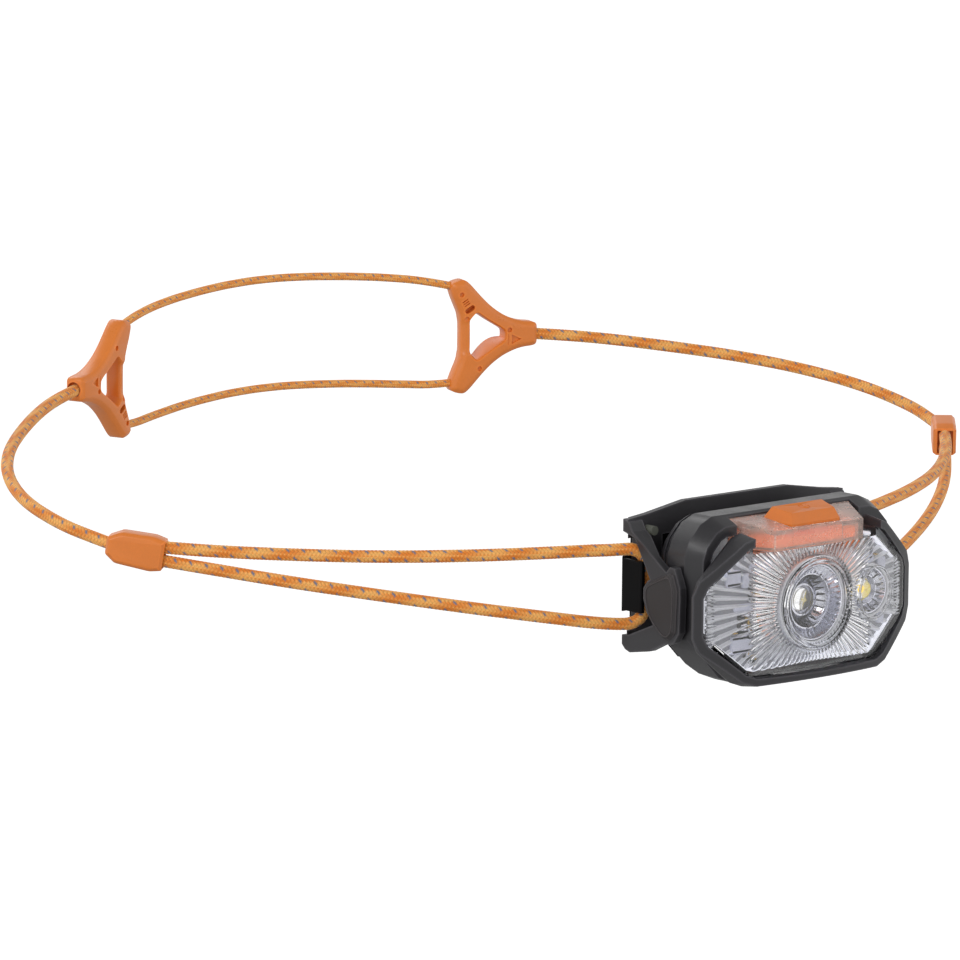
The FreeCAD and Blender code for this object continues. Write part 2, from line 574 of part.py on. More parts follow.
def adjuster():
    """The three-legged slider at the back of the band, with a triangular window."""
    t = ADJUSTER_HALF_THICK
    half = [(7.5, 1.7), (7.2, 2.1), (5.1, 2.35), (2.6, 3.0), (0.0, 4.3), (-2.3, 6.1), (-4.5, 8.4), (-6.2, 10.2),
            (-7.4, 10.6), (-9.0, 10.2), (-9.5, 9.0), (-8.2, 5.8), (-7.4, 3.2)]
    points = half + [(u, -w) for u, w in reversed(half)]
    ring = [V(u, -t, w) for u, w in points]
    body = Part.Face(rounded(ring, 1.2)).extrude(V(0, 2 * t, 0))
    window = [V(-6.0, -t - 1, 2.9), V(-4.5, -t - 1, 4.3), V(1.1, -t - 1, 0.9), V(1.1, -t - 1, -0.9),
              V(-4.5, -t - 1, -4.3), V(-6.0, -t - 1, -2.9)]
    body = body.cut(Part.Face(rounded(window, 0.5)).extrude(V(0, 2 * t + 2, 0)))
    yaw = math.radians(ADJUSTER_YAW)
    body = in_frame(body, ADJUSTER_CENTRE, V(-math.cos(yaw), -math.sin(yaw), 0), V(0, 0, 1))
    upper = [(-x, y, z) for x, y, z in UPPER_REAR_HALF]
    lower = [(-x, y, z) for x, y, z in LOWER_REAR_HALF]
    body = body.cut(cord_bore(SIDE_ROUTE[0], SIDE_ROUTE[1], CORD_D / 2 + BORE_GAP))
    for route in (upper, lower):
        body = body.cut(cord_bore(route[0], route[1], REAR_CORD_D / 2 + BORE_GAP))
    return body.removeSplitter()


# ---------------------------------------------------------------- all nodes
def main():
    optic_back = BOARD_FRONT - 0.9
    nodes = {
        "front_bezel": front_bezel(),
        "front_housing": front_housing(),
        "housing_seal": housing_seal(),
        "rear_housing": rear_housing(),
        "lens": lens(),
        "light_guide": light_guide(),
        "button": button(),
        "button_membrane": button_membrane(),
        "reflector": reflector(),
        "main_optic": collimator(MAIN_X, MAIN_R, MAIN_FRONT, optic_back),
        "spot_optic": collimator(SPOT_X, SPOT_R, SPOT_FRONT, optic_back),
        "main_led": led(MAIN_X, 1.7, BOARD_FRONT),
        "spot_led": led(SPOT_X, 0.95, BOARD_FRONT),
        "side_leds": side_leds(),
        "circuit_board": circuit_board(),
        "tact_switch": tact_switch(),
        "battery_cell": battery_cell(),
        "battery_cradle": battery_cradle(),
        "charging_port": charging_port(),
        "port_cover": port_cover(),
        "casing_screws": casing_screws(),
        "pivot_pins": pivot_pins(),
        "bracket_frame": bracket_frame(),
        "forehead_plate": forehead_plate(),
        "upper_rear_cord": cord_tube("upper_rear_cord", both_halves(UPPER_REAR_HALF), REAR_CORD_D),
        "lower_rear_cord": cord_tube("lower_rear_cord", both_halves(LOWER_REAR_HALF), REAR_CORD_D),
    }
    front = cord_tube("front_cord", FRONT_ROUTE, CORD_D)
    side = cord_tube("side_cord", SIDE_ROUTE, CORD_D)
    one_side = {                                 # drawn at -X, the wearer's right
        "front_cord": front,
        "side_cord": side,
        "cord_joiner": cord_joiner(),
        "adjuster": adjuster(),
    }
    other_side = {                               # drawn at +X
        "friction_washer": friction_washer(),
        "pivot_cover": pivot_cover(),
        "tilt_bumper": tilt_bumper(),
    }
    for name, shape in one_side.items():
        nodes[f"right_{name}"] = shape
        nodes[f"left_{name}"] = mirrored(shape)
    for name, shape in other_side.items():
        nodes[f"left_{name}"] = shape
        nodes[f"right_{name}"] = mirrored(shape)

    os.makedirs("parts", exist_ok=True)
    for name, shape in nodes.items():
        if not shape.isValid():
            print(name, "is not valid")
        print(f"{name}: {len(shape.Solids)} solid(s), {shape.Volume:.1f} mm3")
        shape.exportStep(f"parts/{name}.step")


main()
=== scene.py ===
"""Looks for the cord-band headlamp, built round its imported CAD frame.

Shapes are given in millimetres, and place() and rounded() turn them into metres.
Lights and the camera are placed in metres.
The lamp faces -Y, +Z is up, and the parts named right_ are on the -X side.
"""
import json
import math

import bmesh
import bpy
import numpy as np
from mathutils import Matrix, Vector
from mathutils.geometry import tessellate_polygon

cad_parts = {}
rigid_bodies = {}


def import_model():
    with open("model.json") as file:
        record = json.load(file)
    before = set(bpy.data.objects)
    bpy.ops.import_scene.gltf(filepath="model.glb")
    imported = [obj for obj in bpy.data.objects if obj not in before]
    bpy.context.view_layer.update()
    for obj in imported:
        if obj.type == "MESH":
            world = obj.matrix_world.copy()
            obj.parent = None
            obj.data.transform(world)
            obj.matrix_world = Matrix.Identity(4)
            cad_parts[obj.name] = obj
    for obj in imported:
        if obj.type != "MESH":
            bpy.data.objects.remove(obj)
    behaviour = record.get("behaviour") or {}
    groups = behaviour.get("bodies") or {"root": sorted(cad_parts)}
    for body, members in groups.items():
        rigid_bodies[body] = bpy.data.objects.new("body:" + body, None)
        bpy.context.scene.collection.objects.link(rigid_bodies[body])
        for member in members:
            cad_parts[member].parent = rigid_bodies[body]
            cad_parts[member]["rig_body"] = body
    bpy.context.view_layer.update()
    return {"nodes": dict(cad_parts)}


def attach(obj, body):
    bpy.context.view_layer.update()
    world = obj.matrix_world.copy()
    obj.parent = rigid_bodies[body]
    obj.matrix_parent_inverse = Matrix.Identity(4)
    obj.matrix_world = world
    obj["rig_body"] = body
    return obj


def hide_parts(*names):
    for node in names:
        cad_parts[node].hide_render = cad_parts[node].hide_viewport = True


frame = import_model()
NODES = frame["nodes"]
MM = 0.001
SIDES = (("right", 1.0), ("left", -1.0))     # the sign that mirrors a point given at -X


# ---------------------------------------------------------------- materials
GRAIN_SIZE, GRAIN_DEPTH = 0.16, 0.03         # millimetres
CLOUD_SIZE, HIGHLIGHT_WIDTH = 4.5, 0.6            # millimetres
SCUFF = 0.08                                 # how far roughness varies either way


def add(tree, kind, links=None, **props):
    """A new shader node; links maps an input to a value or to another node's output."""
    node = tree.nodes.new(kind)
    for key, value in props.items():
        setattr(node, key, value)
    for key, value in (links or {}).items():
        if isinstance(value, bpy.types.NodeSocket):
            tree.links.new(value, node.inputs[key])
        else:
            node.inputs[key].default_value = value
    return node


def rgb(colour):
    """A colour given as it looks on screen, 0 to 255, as linear light."""
    out = []
    for c in colour:
        c = c / 255.0
        out.append(c / 12.92 if c <= 0.04045 else ((c + 0.055) / 1.055) ** 2.4)
    return (*out, 1.0)


def base(name, **values):
    """A material, its tree, its shader, and coordinates that stay fixed to the part."""
    mat = bpy.data.materials.new(name)
    mat.use_nodes = True
    tree = mat.node_tree
    shader = tree.nodes["Principled BSDF"]
    for key, value in values.items():
        shader.inputs[key.replace("_", " ")].default_value = value
    coords = add(tree, "ShaderNodeTexCoord").outputs["Object"]
    return mat, tree, shader, coords


def noise(tree, coords, size, detail=3.0, rough=0.55):
    """Noise whose blobs are about size millimetres across."""
    links = {"Vector": coords, "Scale": 1000.0 / size, "Detail": detail, "Roughness": rough}
    return add(tree, "ShaderNodeTexNoise", links).outputs["Fac"]


def spread(tree, value, low, high):
    """A value near the middle of 0 to 1 spread over low to high."""
    links = {"Value": value, "From Min": 0.3, "From Max": 0.7, "To Min": low, "To Max": high}
    return add(tree, "ShaderNodeMapRange", links).outputs["Result"]


def tint(tree, colour, factor):
    """A colour made lighter or darker by a factor."""
    links = {"Vector": colour[:3] if isinstance(colour, tuple) else colour, "Scale": factor}
    return add(tree, "ShaderNodeVectorMath", links, operation="SCALE").outputs["Vector"]


def bump(tree, shader, height, strength, distance):
    """Shade a surface as if height moved it, by up to distance millimetres."""
    links = {"Height": height, "Strength": strength, "Distance": distance * MM}
    tree.links.new(add(tree, "ShaderNodeBump", links).outputs["Normal"], shader.inputs["Normal"])


def edge_mask(tree, width):
    """1 along edges, fading to 0 at about width millimetres from them."""
    soft = add(tree, "ShaderNodeBevel", {"Radius": width * MM}, samples=4).outputs["Normal"]
    flat = add(tree, "ShaderNodeNewGeometry").outputs["Normal"]
    dot = add(tree, "ShaderNodeVectorMath", {0: soft, 1: flat}, operation="DOT_PRODUCT")
    alike = dot.outputs["Value"]
    links = {"Value": alike, "From Min": 0.995, "From Max": 0.90, "To Min": 0.0, "To Max": 1.0}
    return add(tree, "ShaderNodeMapRange", links).outputs["Result"]


def moulded(name, colour, rough, grain=0.35, mottle=0.10, edge_highlight=0.0, **values):
    """Moulded plastic or rubber: a fine eroded grain, cloudy colour, uneven gloss, and edges lightened
    as a painted highlight.
    """
    mat, tree, shader, coords = base(name, **values)
    fine = noise(tree, coords, GRAIN_SIZE, 4.0, 0.65)
    cloud = noise(tree, coords, CLOUD_SIZE)
    speck = noise(tree, coords, GRAIN_SIZE * 2.2, 2.0)
    both = add(tree, "ShaderNodeMath", {0: cloud, 1: speck}, operation="ADD").outputs[0]
    half = add(tree, "ShaderNodeMath", {0: both, 1: 0.5}, operation="MULTIPLY").outputs[0]
    factor = spread(tree, half, 1.0 - mottle, 1.0 + mottle)
    # painted highlight: the colour is lightened along edges, as if they caught the light
    if edge_highlight:
        links = {0: edge_mask(tree, HIGHLIGHT_WIDTH), 1: edge_highlight, 2: factor}
        factor = add(tree, "ShaderNodeMath", links, operation="MULTIPLY_ADD").outputs[0]
    tree.links.new(tint(tree, rgb(colour), factor), shader.inputs["Base Color"])
    tree.links.new(spread(tree, half, rough - SCUFF, rough + SCUFF), shader.inputs["Roughness"])
    bump(tree, shader, fine, grain, GRAIN_DEPTH)
    return mat


def clear(name, colour, rough, streak=0.03):
    """Clear moulded plastic, with its polish a little uneven."""
    mat, tree, shader, coords = base(name, IOR=1.49, Transmission_Weight=1.0)
    shader.inputs["Base Color"].default_value = colour
    wave = noise(tree, coords, 2.5)
    tree.links.new(spread(tree, wave, rough, rough + streak), shader.inputs["Roughness"])
    return mat


# the paler edges of these parts are a painted highlight
charcoal = moulded("charcoal_plastic", (47, 46, 49), 0.46, grain=0.30, edge_highlight=1.6,
                   Specular_IOR_Level=0.4)
bezel_plastic = moulded("bezel_plastic", (47, 46, 49), 0.46, grain=0.35, edge_highlight=1.8,
                        Specular_IOR_Level=0.4)
housing_plastic = moulded("housing_plastic", (43, 42, 45), 0.36, grain=0.20, edge_highlight=1.8,
                          Specular_IOR_Level=0.45)
label_plastic = moulded("label_plastic", (47, 44, 45), 0.50, grain=0.25, edge_highlight=1.4,
                        Specular_IOR_Level=0.35)
black_plate = moulded("black_plate", (9, 9, 10), 0.40, grain=0.25, edge_highlight=2.0,
                      Specular_IOR_Level=0.06)
black_rubber = moulded("black_rubber", (14, 14, 15), 0.62, grain=0.40, Specular_IOR_Level=0.3)
grey_rubber = moulded("grey_rubber", (92, 94, 86), 0.55)
nylon = moulded("nylon", (190, 190, 184), 0.42, grain=0.10)
orange_plastic = moulded("orange_plastic", (222, 124, 46), 0.34, grain=0.14, mottle=0.05, edge_highlight=0.25,
                         Specular_IOR_Level=0.5)
orange_rubber = moulded("orange_rubber", (217, 118, 38), 0.50, grain=0.30, mottle=0.05)
# the orange bed glows with emission though it is no lamp: painted light shining through the frosted
# block
glowing_orange_bed = moulded("glowing_orange_bed", (240, 122, 50), 0.50, grain=0.10, mottle=0.05,
                     Emission_Color=(0.9, 0.22, 0.03, 1.0), Emission_Strength=0.5)
clear_plastic = clear("clear_plastic", (0.985, 0.985, 0.99, 1.0), 0.012)
optic_plastic = clear("optic_plastic", (0.99, 0.99, 0.985, 1.0), 0.01, streak=0.01)
silvered = moulded("silvered_plastic", (208, 209, 217), 0.10, grain=0.03, mottle=0.04, Metallic=1.0)
pale_ribs = moulded("pale_ribs", (236, 237, 243), 0.25, grain=0.05, mottle=0.05)
# a pale strip that glows though it is no lamp: a painted highlight on the lens's clear edge
lit_edge = moulded("lit_edge", (236, 237, 243), 0.25, grain=0.05, mottle=0.05,
                   Emission_Color=(0.9, 0.92, 1.0, 1.0), Emission_Strength=0.6)
tray_plastic = moulded("tray_plastic", (140, 141, 149), 0.22, grain=0.10)
# near-black colour for rods and pads that paint the shade seen in the optics and on the tray
painted_shade = moulded("painted_shade", (26, 25, 24), 0.30, grain=0.10)
diffuser = moulded("diffuser_plastic", (216, 218, 234), 0.30, grain=0.15, mottle=0.06)
gilt = moulded("gilt_contacts", (196, 160, 84), 0.28, grain=0.10, Metallic=0.6)
board_mask = moulded("board", (190, 194, 198), 0.35, grain=0.08, mottle=0.06)
cell_wrap = moulded("cell_wrap", (140, 144, 150), 0.28, grain=0.15, Metallic=0.7)
white_plastic = moulded("white_plastic", (204, 204, 200), 0.45)
steel = moulded("steel", (198, 198, 202), 0.25, grain=0.08, Metallic=1.0)


def frosted():
    """The pinkish translucent block: cloudy plastic through which the orange bed's painted glow shows.
    """
    mat, tree, shader, coords = base("frosted_plastic", IOR=1.46, Transmission_Weight=0.76)
    cloud = noise(tree, coords, 3.0)
    factor = spread(tree, cloud, 0.93, 1.04)
    tree.links.new(tint(tree, rgb((247, 226, 216)), factor), shader.inputs["Base Color"])
    tree.links.new(spread(tree, cloud, 0.20, 0.32), shader.inputs["Roughness"])
    bump(tree, shader, noise(tree, coords, 0.2, 4.0), 0.15, 0.02)
    return mat


frosted_plastic = frosted()


def phosphor():
    """Yellow phosphor with a glossy coat and a slight glow."""
    mat, tree, shader, coords = base("led", Roughness=0.25, Coat_Weight=0.6)
    factor = spread(tree, noise(tree, coords, 0.25), 0.85, 1.1)
    tree.links.new(tint(tree, rgb((236, 214, 70)), factor), shader.inputs["Base Color"])
    shader.inputs["Emission Color"].default_value = rgb((250, 225, 90))
    shader.inputs["Emission Strength"].default_value = 0.5
    return mat


led_mat = phosphor()


def braid_material():
    """Braided yarn: orange strands, blue-grey tracers, painted shade in the crevices and fine filaments.
    """
    mat, tree, shader, coords = base("orange_cord", Sheen_Weight=0.12, Sheen_Roughness=0.4,
                                     Specular_IOR_Level=0.35)
    strand = add(tree, "ShaderNodeAttribute", attribute_name="braid").outputs["Color"]
    part = add(tree, "ShaderNodeSeparateColor", {"Color": strand}).outputs
    uv = add(tree, "ShaderNodeUVMap", uv_map="yarn").outputs["UV"]
    wave = add(tree, "ShaderNodeTexWave", {"Vector": uv, "Scale": 1.0, "Distortion": 0.6},
               bands_direction="X")
    fuzz = noise(tree, coords, 0.09, 3.0, 0.7)
    light = add(tree, "ShaderNodeMath", {0: wave.outputs["Fac"], 1: fuzz}, operation="ADD").outputs[0]
    links = {"Factor": part["Blue"], "A": rgb((232, 132, 44)), "B": rgb((250, 184, 100))}
    gold = add(tree, "ShaderNodeMix", links, data_type="RGBA").outputs["Result"]
    links = {"Factor": part["Red"], "A": gold, "B": rgb((112, 118, 140))}
    yarn = add(tree, "ShaderNodeMix", links, data_type="RGBA").outputs["Result"]
    # painted shade: the colour darkens where the braid's surface is low, between strands
    links = {"Value": part["Green"], "From Min": 0.0, "From Max": 0.75, "To Min": 0.58, "To Max": 1.05}
    crevice_shade = add(tree, "ShaderNodeMapRange", links).outputs["Result"]
    links = {"Value": light, "From Min": 0.4, "From Max": 1.6, "To Min": 0.78, "To Max": 1.16}
    shade = add(tree, "ShaderNodeMapRange", links).outputs["Result"]
    factor = add(tree, "ShaderNodeMath", {0: crevice_shade, 1: shade}, operation="MULTIPLY").outputs[0]
    tree.links.new(tint(tree, yarn, factor), shader.inputs["Base Color"])
    tree.links.new(spread(tree, fuzz, 0.5, 0.72), shader.inputs["Roughness"])
    bump(tree, shader, light, 0.35, 0.02)
    return mat


braid_yarn = braid_material()


# ---------------------------------------------------------------- meshes
SMOOTH_BELOW = 40.0                          # degrees between faces that shade as one surface
ROUND_ABOVE = 19.0                           # degrees between faces whose shared edge is rounded
FLAT_BELOW = 1.0                             # degrees between faces that are merged into one
HOOP_ABOVE, LENGTHWAYS_ABOVE = 12.0, 32.0    # as ROUND_ABOVE, for edges round a shell and along it


def smooth(mesh, angle):
    """Smooth shading, broken at edges sharper than angle degrees."""
    mesh.shade_smooth()
    mesh.set_sharp_from_angle(angle=math.radians(angle))


def place(name, points, faces, mat, smooth_angle=SMOOTH_BELOW):
    """A mesh object from points in millimetres."""
    mesh = bpy.data.meshes.new(name)
    points = np.asarray(points, float) * MM
    mesh.from_pydata([tuple(p) for p in points], [], [tuple(f) for f in faces])
    return show(name, mesh, mat, smooth_angle)


def show(name, mesh, mat, smooth_angle=SMOOTH_BELOW):
    """A new object in the scene with the mesh, its material and smooth shading."""
    mesh.materials.clear()
    mesh.materials.append(mat)
    mesh.validate()
    smooth(mesh, smooth_angle)
    obj = bpy.data.objects.new(name, mesh)
    bpy.context.scene.collection.objects.link(obj)
    return obj


def tube_faces(rings, sides, closed=False):
    """Quads between rings of points; closed joins the last ring to the first."""
    faces = []
    for i in range(rings if closed else rings - 1):
        a, b = i * sides, (i + 1) % rings * sides
        for j in range(sides):
            k = (j + 1) % sides
            faces.append((a + j, a + k, b + k, b + j))
    return faces


def finish_mesh(obj):
    """Apply an object's modifiers."""
    graph = bpy.context.evaluated_depsgraph_get()
    mesh = bpy.data.meshes.new_from_object(obj.evaluated_get(graph), depsgraph=graph)
    old = obj.data
    obj.modifiers.clear()
    obj.data = mesh
    bpy.data.meshes.remove(old)
    return obj


def rounded(obj, width, segments, marked):
    """Round an object's marked edges, or else its sharp ones, to about width millimetres."""
    mod = obj.modifiers.new("edges", "BEVEL")
    mod.width = width * MM
    mod.segments = segments
    mod.limit_method = "WEIGHT" if marked else "ANGLE"
    mod.angle_limit = math.radians(ROUND_ABOVE)
    mod.miter_outer = "MITER_ARC"
    mod.use_clamp_overlap = True
    finish_mesh(obj)
    smooth(obj.data, SMOOTH_BELOW)
    return flat_faces(obj)


def flat_faces(obj):
    """Keep large faces flat-looking and let only the rounded edges between them look round."""
    mod = obj.modifiers.new("normals", "WEIGHTED_NORMAL")
    mod.keep_sharp = True
    mod.weight = 50
    return finish_mesh(obj)


def mark_hoops(bm):
    """Mark a shell's edges for rounding: most that run round its Y axis, few that run along it."""
    weight = bm.edges.layers.float.new("bevel_weight_edge")
    for edge in bm.edges:
        if not edge.is_manifold:
            continue
        way = (edge.verts[1].co - edge.verts[0].co).normalized()
        limit = HOOP_ABOVE if abs(way.y) < 0.3 else LENGTHWAYS_ABOVE
        edge[weight] = float(edge.calc_face_angle(0.0) > math.radians(limit))


def solid(node, name, mat, width, segments=2, hoops=False):
    """A copy of a CAD node with rounded edges, which stands for it."""
    source = NODES[node]
    mesh = source.data.copy()
    bm = bmesh.new()
    bm.from_mesh(mesh)
    bmesh.ops.remove_doubles(bm, verts=bm.verts, dist=2e-6)
    bmesh.ops.dissolve_limit(bm, angle_limit=math.radians(FLAT_BELOW), verts=bm.verts, edges=bm.edges)
    if hoops:
        mark_hoops(bm)
    bm.to_mesh(mesh)
    bm.free()
    obj = rounded(show(name, mesh, mat), width, segments, hoops)
    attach(obj, source["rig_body"])
    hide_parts(node)
    return obj


def softened(points, rounds=3, ratio=0.25):
    """A closed polygon with its corners cut again and again until it is smooth."""
    loop = np.asarray(points, float)
    for _ in range(rounds):
        after = np.roll(loop, -1, axis=0)
        corners = np.stack([loop + (after - loop) * ratio, after - (after - loop) * ratio], 1)
        loop = corners.reshape(-1, 2)
    return loop


def mirrored_loop(half):
    """A closed outline from the points of its upper half."""
    return half + [(u, -w) for u, w in reversed(half)]


def inwards(loop, by):
    """A loop's points moved to their left, which is into the material."""
    before, after = np.roll(loop, 1, axis=0), np.roll(loop, -1, axis=0)
    d = after - before
    d /= np.maximum(np.linalg.norm(d, axis=1), 1e-9)[:, None]
    return loop + np.stack([-d[:, 1], d[:, 0]], 1) * by


def facing(loop, anticlockwise=True):
    """A loop turned to run anticlockwise, or else clockwise."""
    after = np.roll(loop, -1, axis=0)
    area = np.sum(loop[:, 0] * after[:, 1] - after[:, 0] * loop[:, 1])
    return loop if (area > 0) == anticlockwise else loop[::-1]


def slab(outer, holes, levels, hole_scale=1.0):
    """Points (u, v, w) and faces of a plate whose edges follow levels of (v, inset)."""
    loops = [facing(np.asarray(outer, float))] + [facing(np.asarray(h, float), False) for h in holes]
    points, faces = [], []
    rings = []                                   # the first point of each loop at each level
    for v, by in levels:
        starts = []
        for k, loop in enumerate(loops):
            starts.append(len(points))
            moved = inwards(loop, by if k == 0 else by * hole_scale)
            points += [(u, v, w) for u, w in moved]
        rings.append(starts)
    for low, high in zip(rings, rings[1:]):
        for k, loop in enumerate(loops):
            n = len(loop)
            for i in range(n):
                j = (i + 1) % n
                faces.append((low[k] + i, low[k] + j, high[k] + j, high[k] + i))
    for end, starts in ((0, rings[0]), (-1, rings[-1])):
        flat, index = [], []
        for k, loop in enumerate(loops):
            ids = range(starts[k], starts[k] + len(loop))
            flat.append([Vector((points[i][0], points[i][2], 0)) for i in ids])
            index += ids
        for tri in tessellate_polygon(flat):
            tri = tuple(index[i] for i in tri)
            faces.append(tri if end else tri[::-1])
    return points, faces


def revolved(profile, centre, count=96, relief=None):
    """Points and faces of a closed profile of (radius, y) turned about a Y axis."""
    points = []
    for i in range(count):
        angle = 2 * math.pi * i / count
        for k, (radius, y) in enumerate(profile):
            lift = relief(i, k) if relief else 0.0
            x, z = centre[0] + radius * math.cos(angle), centre[1] + radius * math.sin(angle)
            points.append((x, y + lift, z))
    return points, tube_faces(count, len(profile), closed=True)


def box_mesh(low, high):
    """A box between two corners."""
    points = [(x, y, z) for x in (low[0], high[0]) for y in (low[1], high[1])
              for z in (low[2], high[2])]
    faces = [(0, 1, 3, 2), (4, 6, 7, 5), (0, 4, 5, 1), (2, 3, 7, 6), (0, 2, 6, 4), (1, 5, 7, 3)]
    return points, faces


def rod_mesh(start, end, radius, count=24):
    """A round rod between two points."""
    start, end = Vector(start), Vector(end)
    turn = (end - start).to_track_quat("Z", "Y")
    points = []
    for at in (start, end):
        for i in range(count):
            a = 2 * math.pi * i / count
            out = Vector((radius * math.cos(a), radius * math.sin(a), 0))
            points.append(tuple(at + turn @ out))
    faces = tube_faces(2, count) + [tuple(range(count))[::-1], tuple(range(count, 2 * count))]
    return points, faces


def sweep_mesh(line, radius, count=10, closed=False):
    """A tube of small radius along points, with flat ends unless it is closed."""
    line = [Vector(p) for p in line]
    points = []
    n = len(line)
    side = None
    for i in range(n):
        ahead = line[(i + 1) % n] if closed or i < n - 1 else line[i]
        behind = line[i - 1] if closed or i > 0 else line[i]
        along = (ahead - behind).normalized()
        if side is None:
            side = along.orthogonal()
        side = (side - along * side.dot(along)).normalized()
        up = along.cross(side)
        for k in range(count):
            a = 2 * math.pi * k / count
            across, lift = side * (radius * math.cos(a)), up * (radius * math.sin(a))
            points.append(tuple(line[i] + across + lift))
    faces = tube_faces(n, count, closed)
    if not closed:
        faces += [tuple(range(count))[::-1], tuple(range((n - 1) * count, n * count))]
    return points, faces


def joined(parts):
    """Several meshes given as points and faces, as one."""
    points, faces = [], []
    for p, f in parts:
        shift = len(points)
        points += list(p)
        faces += [tuple(i + shift for i in face) for face in f]
    return points, faces


def outwards(obj):
    """Turn every face of a closed mesh outwards."""
    bm = bmesh.new()
    bm.from_mesh(obj.data)
    bmesh.ops.recalc_face_normals(bm, faces=bm.faces)
    bm.to_mesh(obj.data)
    bm.free()
    return obj


def cut(obj, cutters, smooth_angle=SMOOTH_BELOW):
    """Cut closed shapes, given as points and faces, out of an object."""
    for points, faces in cutters:
        tool = outwards(place("cutter", points, faces, obj.data.materials[0]))
        mod = obj.modifiers.new("cut", "BOOLEAN")
        mod.operation = "DIFFERENCE"
        mod.solver = "EXACT"
        mod.object = tool
        finish_mesh(obj)
        bpy.data.objects.remove(tool)
    smooth(obj.data, smooth_angle)
    return obj


def piece(name, shape, mat, body, node, replaces=True, smooth_angle=SMOOTH_BELOW):
    """A finished piece made from points and faces."""
    return mounted(outwards(place(name, *shape, mat, smooth_angle)), body, node, replaces)


def mounted(obj, body, node, replaces=True):
    """An object that rides on a body, and that may stand for a CAD node."""
    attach(obj, body)
    if replaces:
        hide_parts(node)
    return obj


# ---------------------------------------------------------------- cords
CORD_D, REAR_CORD_D = 2.1, 1.45
UPPER_STRAND = [(-91.92, 40.59, 7.82), (-86.9, 35.0, 7.35), (-76.5, 24.7, 6.95), (-63.5, 14.7, 6.5),
                (-50.0, 7.0, 6.3), (-39.0, 2.1, 6.2), (-32.4, -0.6, 6.2), (-28.0, -2.45, 6.1)]
ROUND_EAR = [(-24.5, -3.8, 6.2), (-22.8, -4.5, 4.5), (-22.7, -4.6, 1.6), (-22.7, -4.65, -1.8),
             (-22.8, -4.5, -4.9), (-24.5, -3.8, -6.65)]
LOWER_STRAND = [(-91.92, 40.59, 5.66), (-86.9, 35.0, 4.6), (-76.5, 24.7, 2.4), (-63.5, 14.7, -0.1),
                (-50.0, 7.0, -2.7), (-39.0, 2.1, -4.7), (-32.4, -0.6, -5.9), (-28.0, -2.45, -6.5)]
SIDE_ROUTE = [(-52.6, 110.66, 21.42), (-58.5, 108.3, 20.85), (-66.5, 103.6, 19.9), (-76.0, 96.6, 18.4),
              (-85.5, 88.3, 16.7), (-93.3, 78.6, 14.7), (-98.2, 67.5, 12.35), (-99.0, 56.5, 10.1),
              (-97.4, 49.6, 8.65), (-95.95, 45.09, 7.68)]
UPPER_REAR_HALF = [(40.6, 115.0, 30.3), (34.9, 117.4, 31.9), (25.0, 120.9, 33.2), (13.0, 123.4, 34.1),
                   (4.0, 124.2, 34.5)]
LOWER_REAR_HALF = [(40.8, 114.9, 13.1), (36.0, 116.7, 12.6), (29.0, 119.4, 13.1), (19.0, 122.1, 13.9),
                   (9.5, 123.7, 14.4), (3.2, 124.1, 14.6)]
CARRIERS = 8                 # braiding strands that run each way round
RING_STEP = 0.13             # spacing of a cord mesh's rings
AROUND = 32                  # points in a ring
STRAND_PITCH = 0.31          # length of a crossing, in cord diameters
STRAND_HEIGHT = 0.045        # how far a strand stands proud, in cord diameters
YARN_FINENESS = 3.2          # texture units across a strand: more makes its filaments finer


def spline_line(route):
    """Evenly spaced points along the route's own smooth spline, in millimetres."""
    curve = bpy.data.curves.new("route", "CURVE")
    curve.dimensions = "3D"
    spline = curve.splines.new("NURBS")
    spline.points.add(len(route) - 1)
    for point, at in zip(spline.points, route):
        point.co = (*at, 1.0)
    spline.order_u = 3
    spline.use_endpoint_u = True
    spline.resolution_u = 96
    holder = bpy.data.objects.new("route", curve)
    bpy.context.scene.collection.objects.link(holder)
    graph = bpy.context.evaluated_depsgraph_get()
    mesh = bpy.data.meshes.new_from_object(holder.evaluated_get(graph), depsgraph=graph)
    line = np.array([v.co for v in mesh.vertices])
    bpy.data.objects.remove(holder)
    bpy.data.curves.remove(curve)
    bpy.data.meshes.remove(mesh)
    run = np.concatenate([[0], np.cumsum(np.linalg.norm(np.diff(line, axis=0), axis=1))])
    count = int(run[-1] / RING_STEP) + 1
    even = np.linspace(0, run[-1], count)
    return np.stack([np.interp(even, run, line[:, k]) for k in range(3)], 1), even


def frames_along(line):
    """Two directions across the line at each point, carried along it without twist."""
    along = np.gradient(line, axis=0)
    along /= np.linalg.norm(along, axis=1)[:, None]
    side = np.cross(along[0], (0.0, 0.0, 1.0))
    sides = []
    for t in along:
        side = side - t * side.dot(t)
        side /= np.linalg.norm(side)
        sides.append(side)
    sides = np.array(sides)
    return sides, np.cross(along, sides)


def braid_relief(run, turn, pitch):
    """Height 0 to 1, tracer mask and strand shade of a two-over, two-under tubular braid."""
    a = CARRIERS * turn - run / pitch
    b = CARRIERS * turn + run / pitch
    i, j = np.floor(a), np.floor(b)
    over = np.mod(i + j, 4)
    first = over < 2
    across = np.where(first, a - i, b - j)
    length = np.where(first, (over + b - j) / 2, (over - 2 + a - i) / 2)
    crown = np.sin(np.pi * across) ** 0.6
    float_arch = np.sin(np.pi * np.clip(length, 0, 1)) ** 0.5
    height = crown * (0.35 + 0.65 * float_arch)
    tracer = first & (np.mod(i, 4) == 0) & (height > 0.62)
    shade = 0.5 + 0.5 * np.sin(12.9898 * np.where(first, i, j + 3.7) + 4.1 * np.floor(over))
    return height, tracer, shade


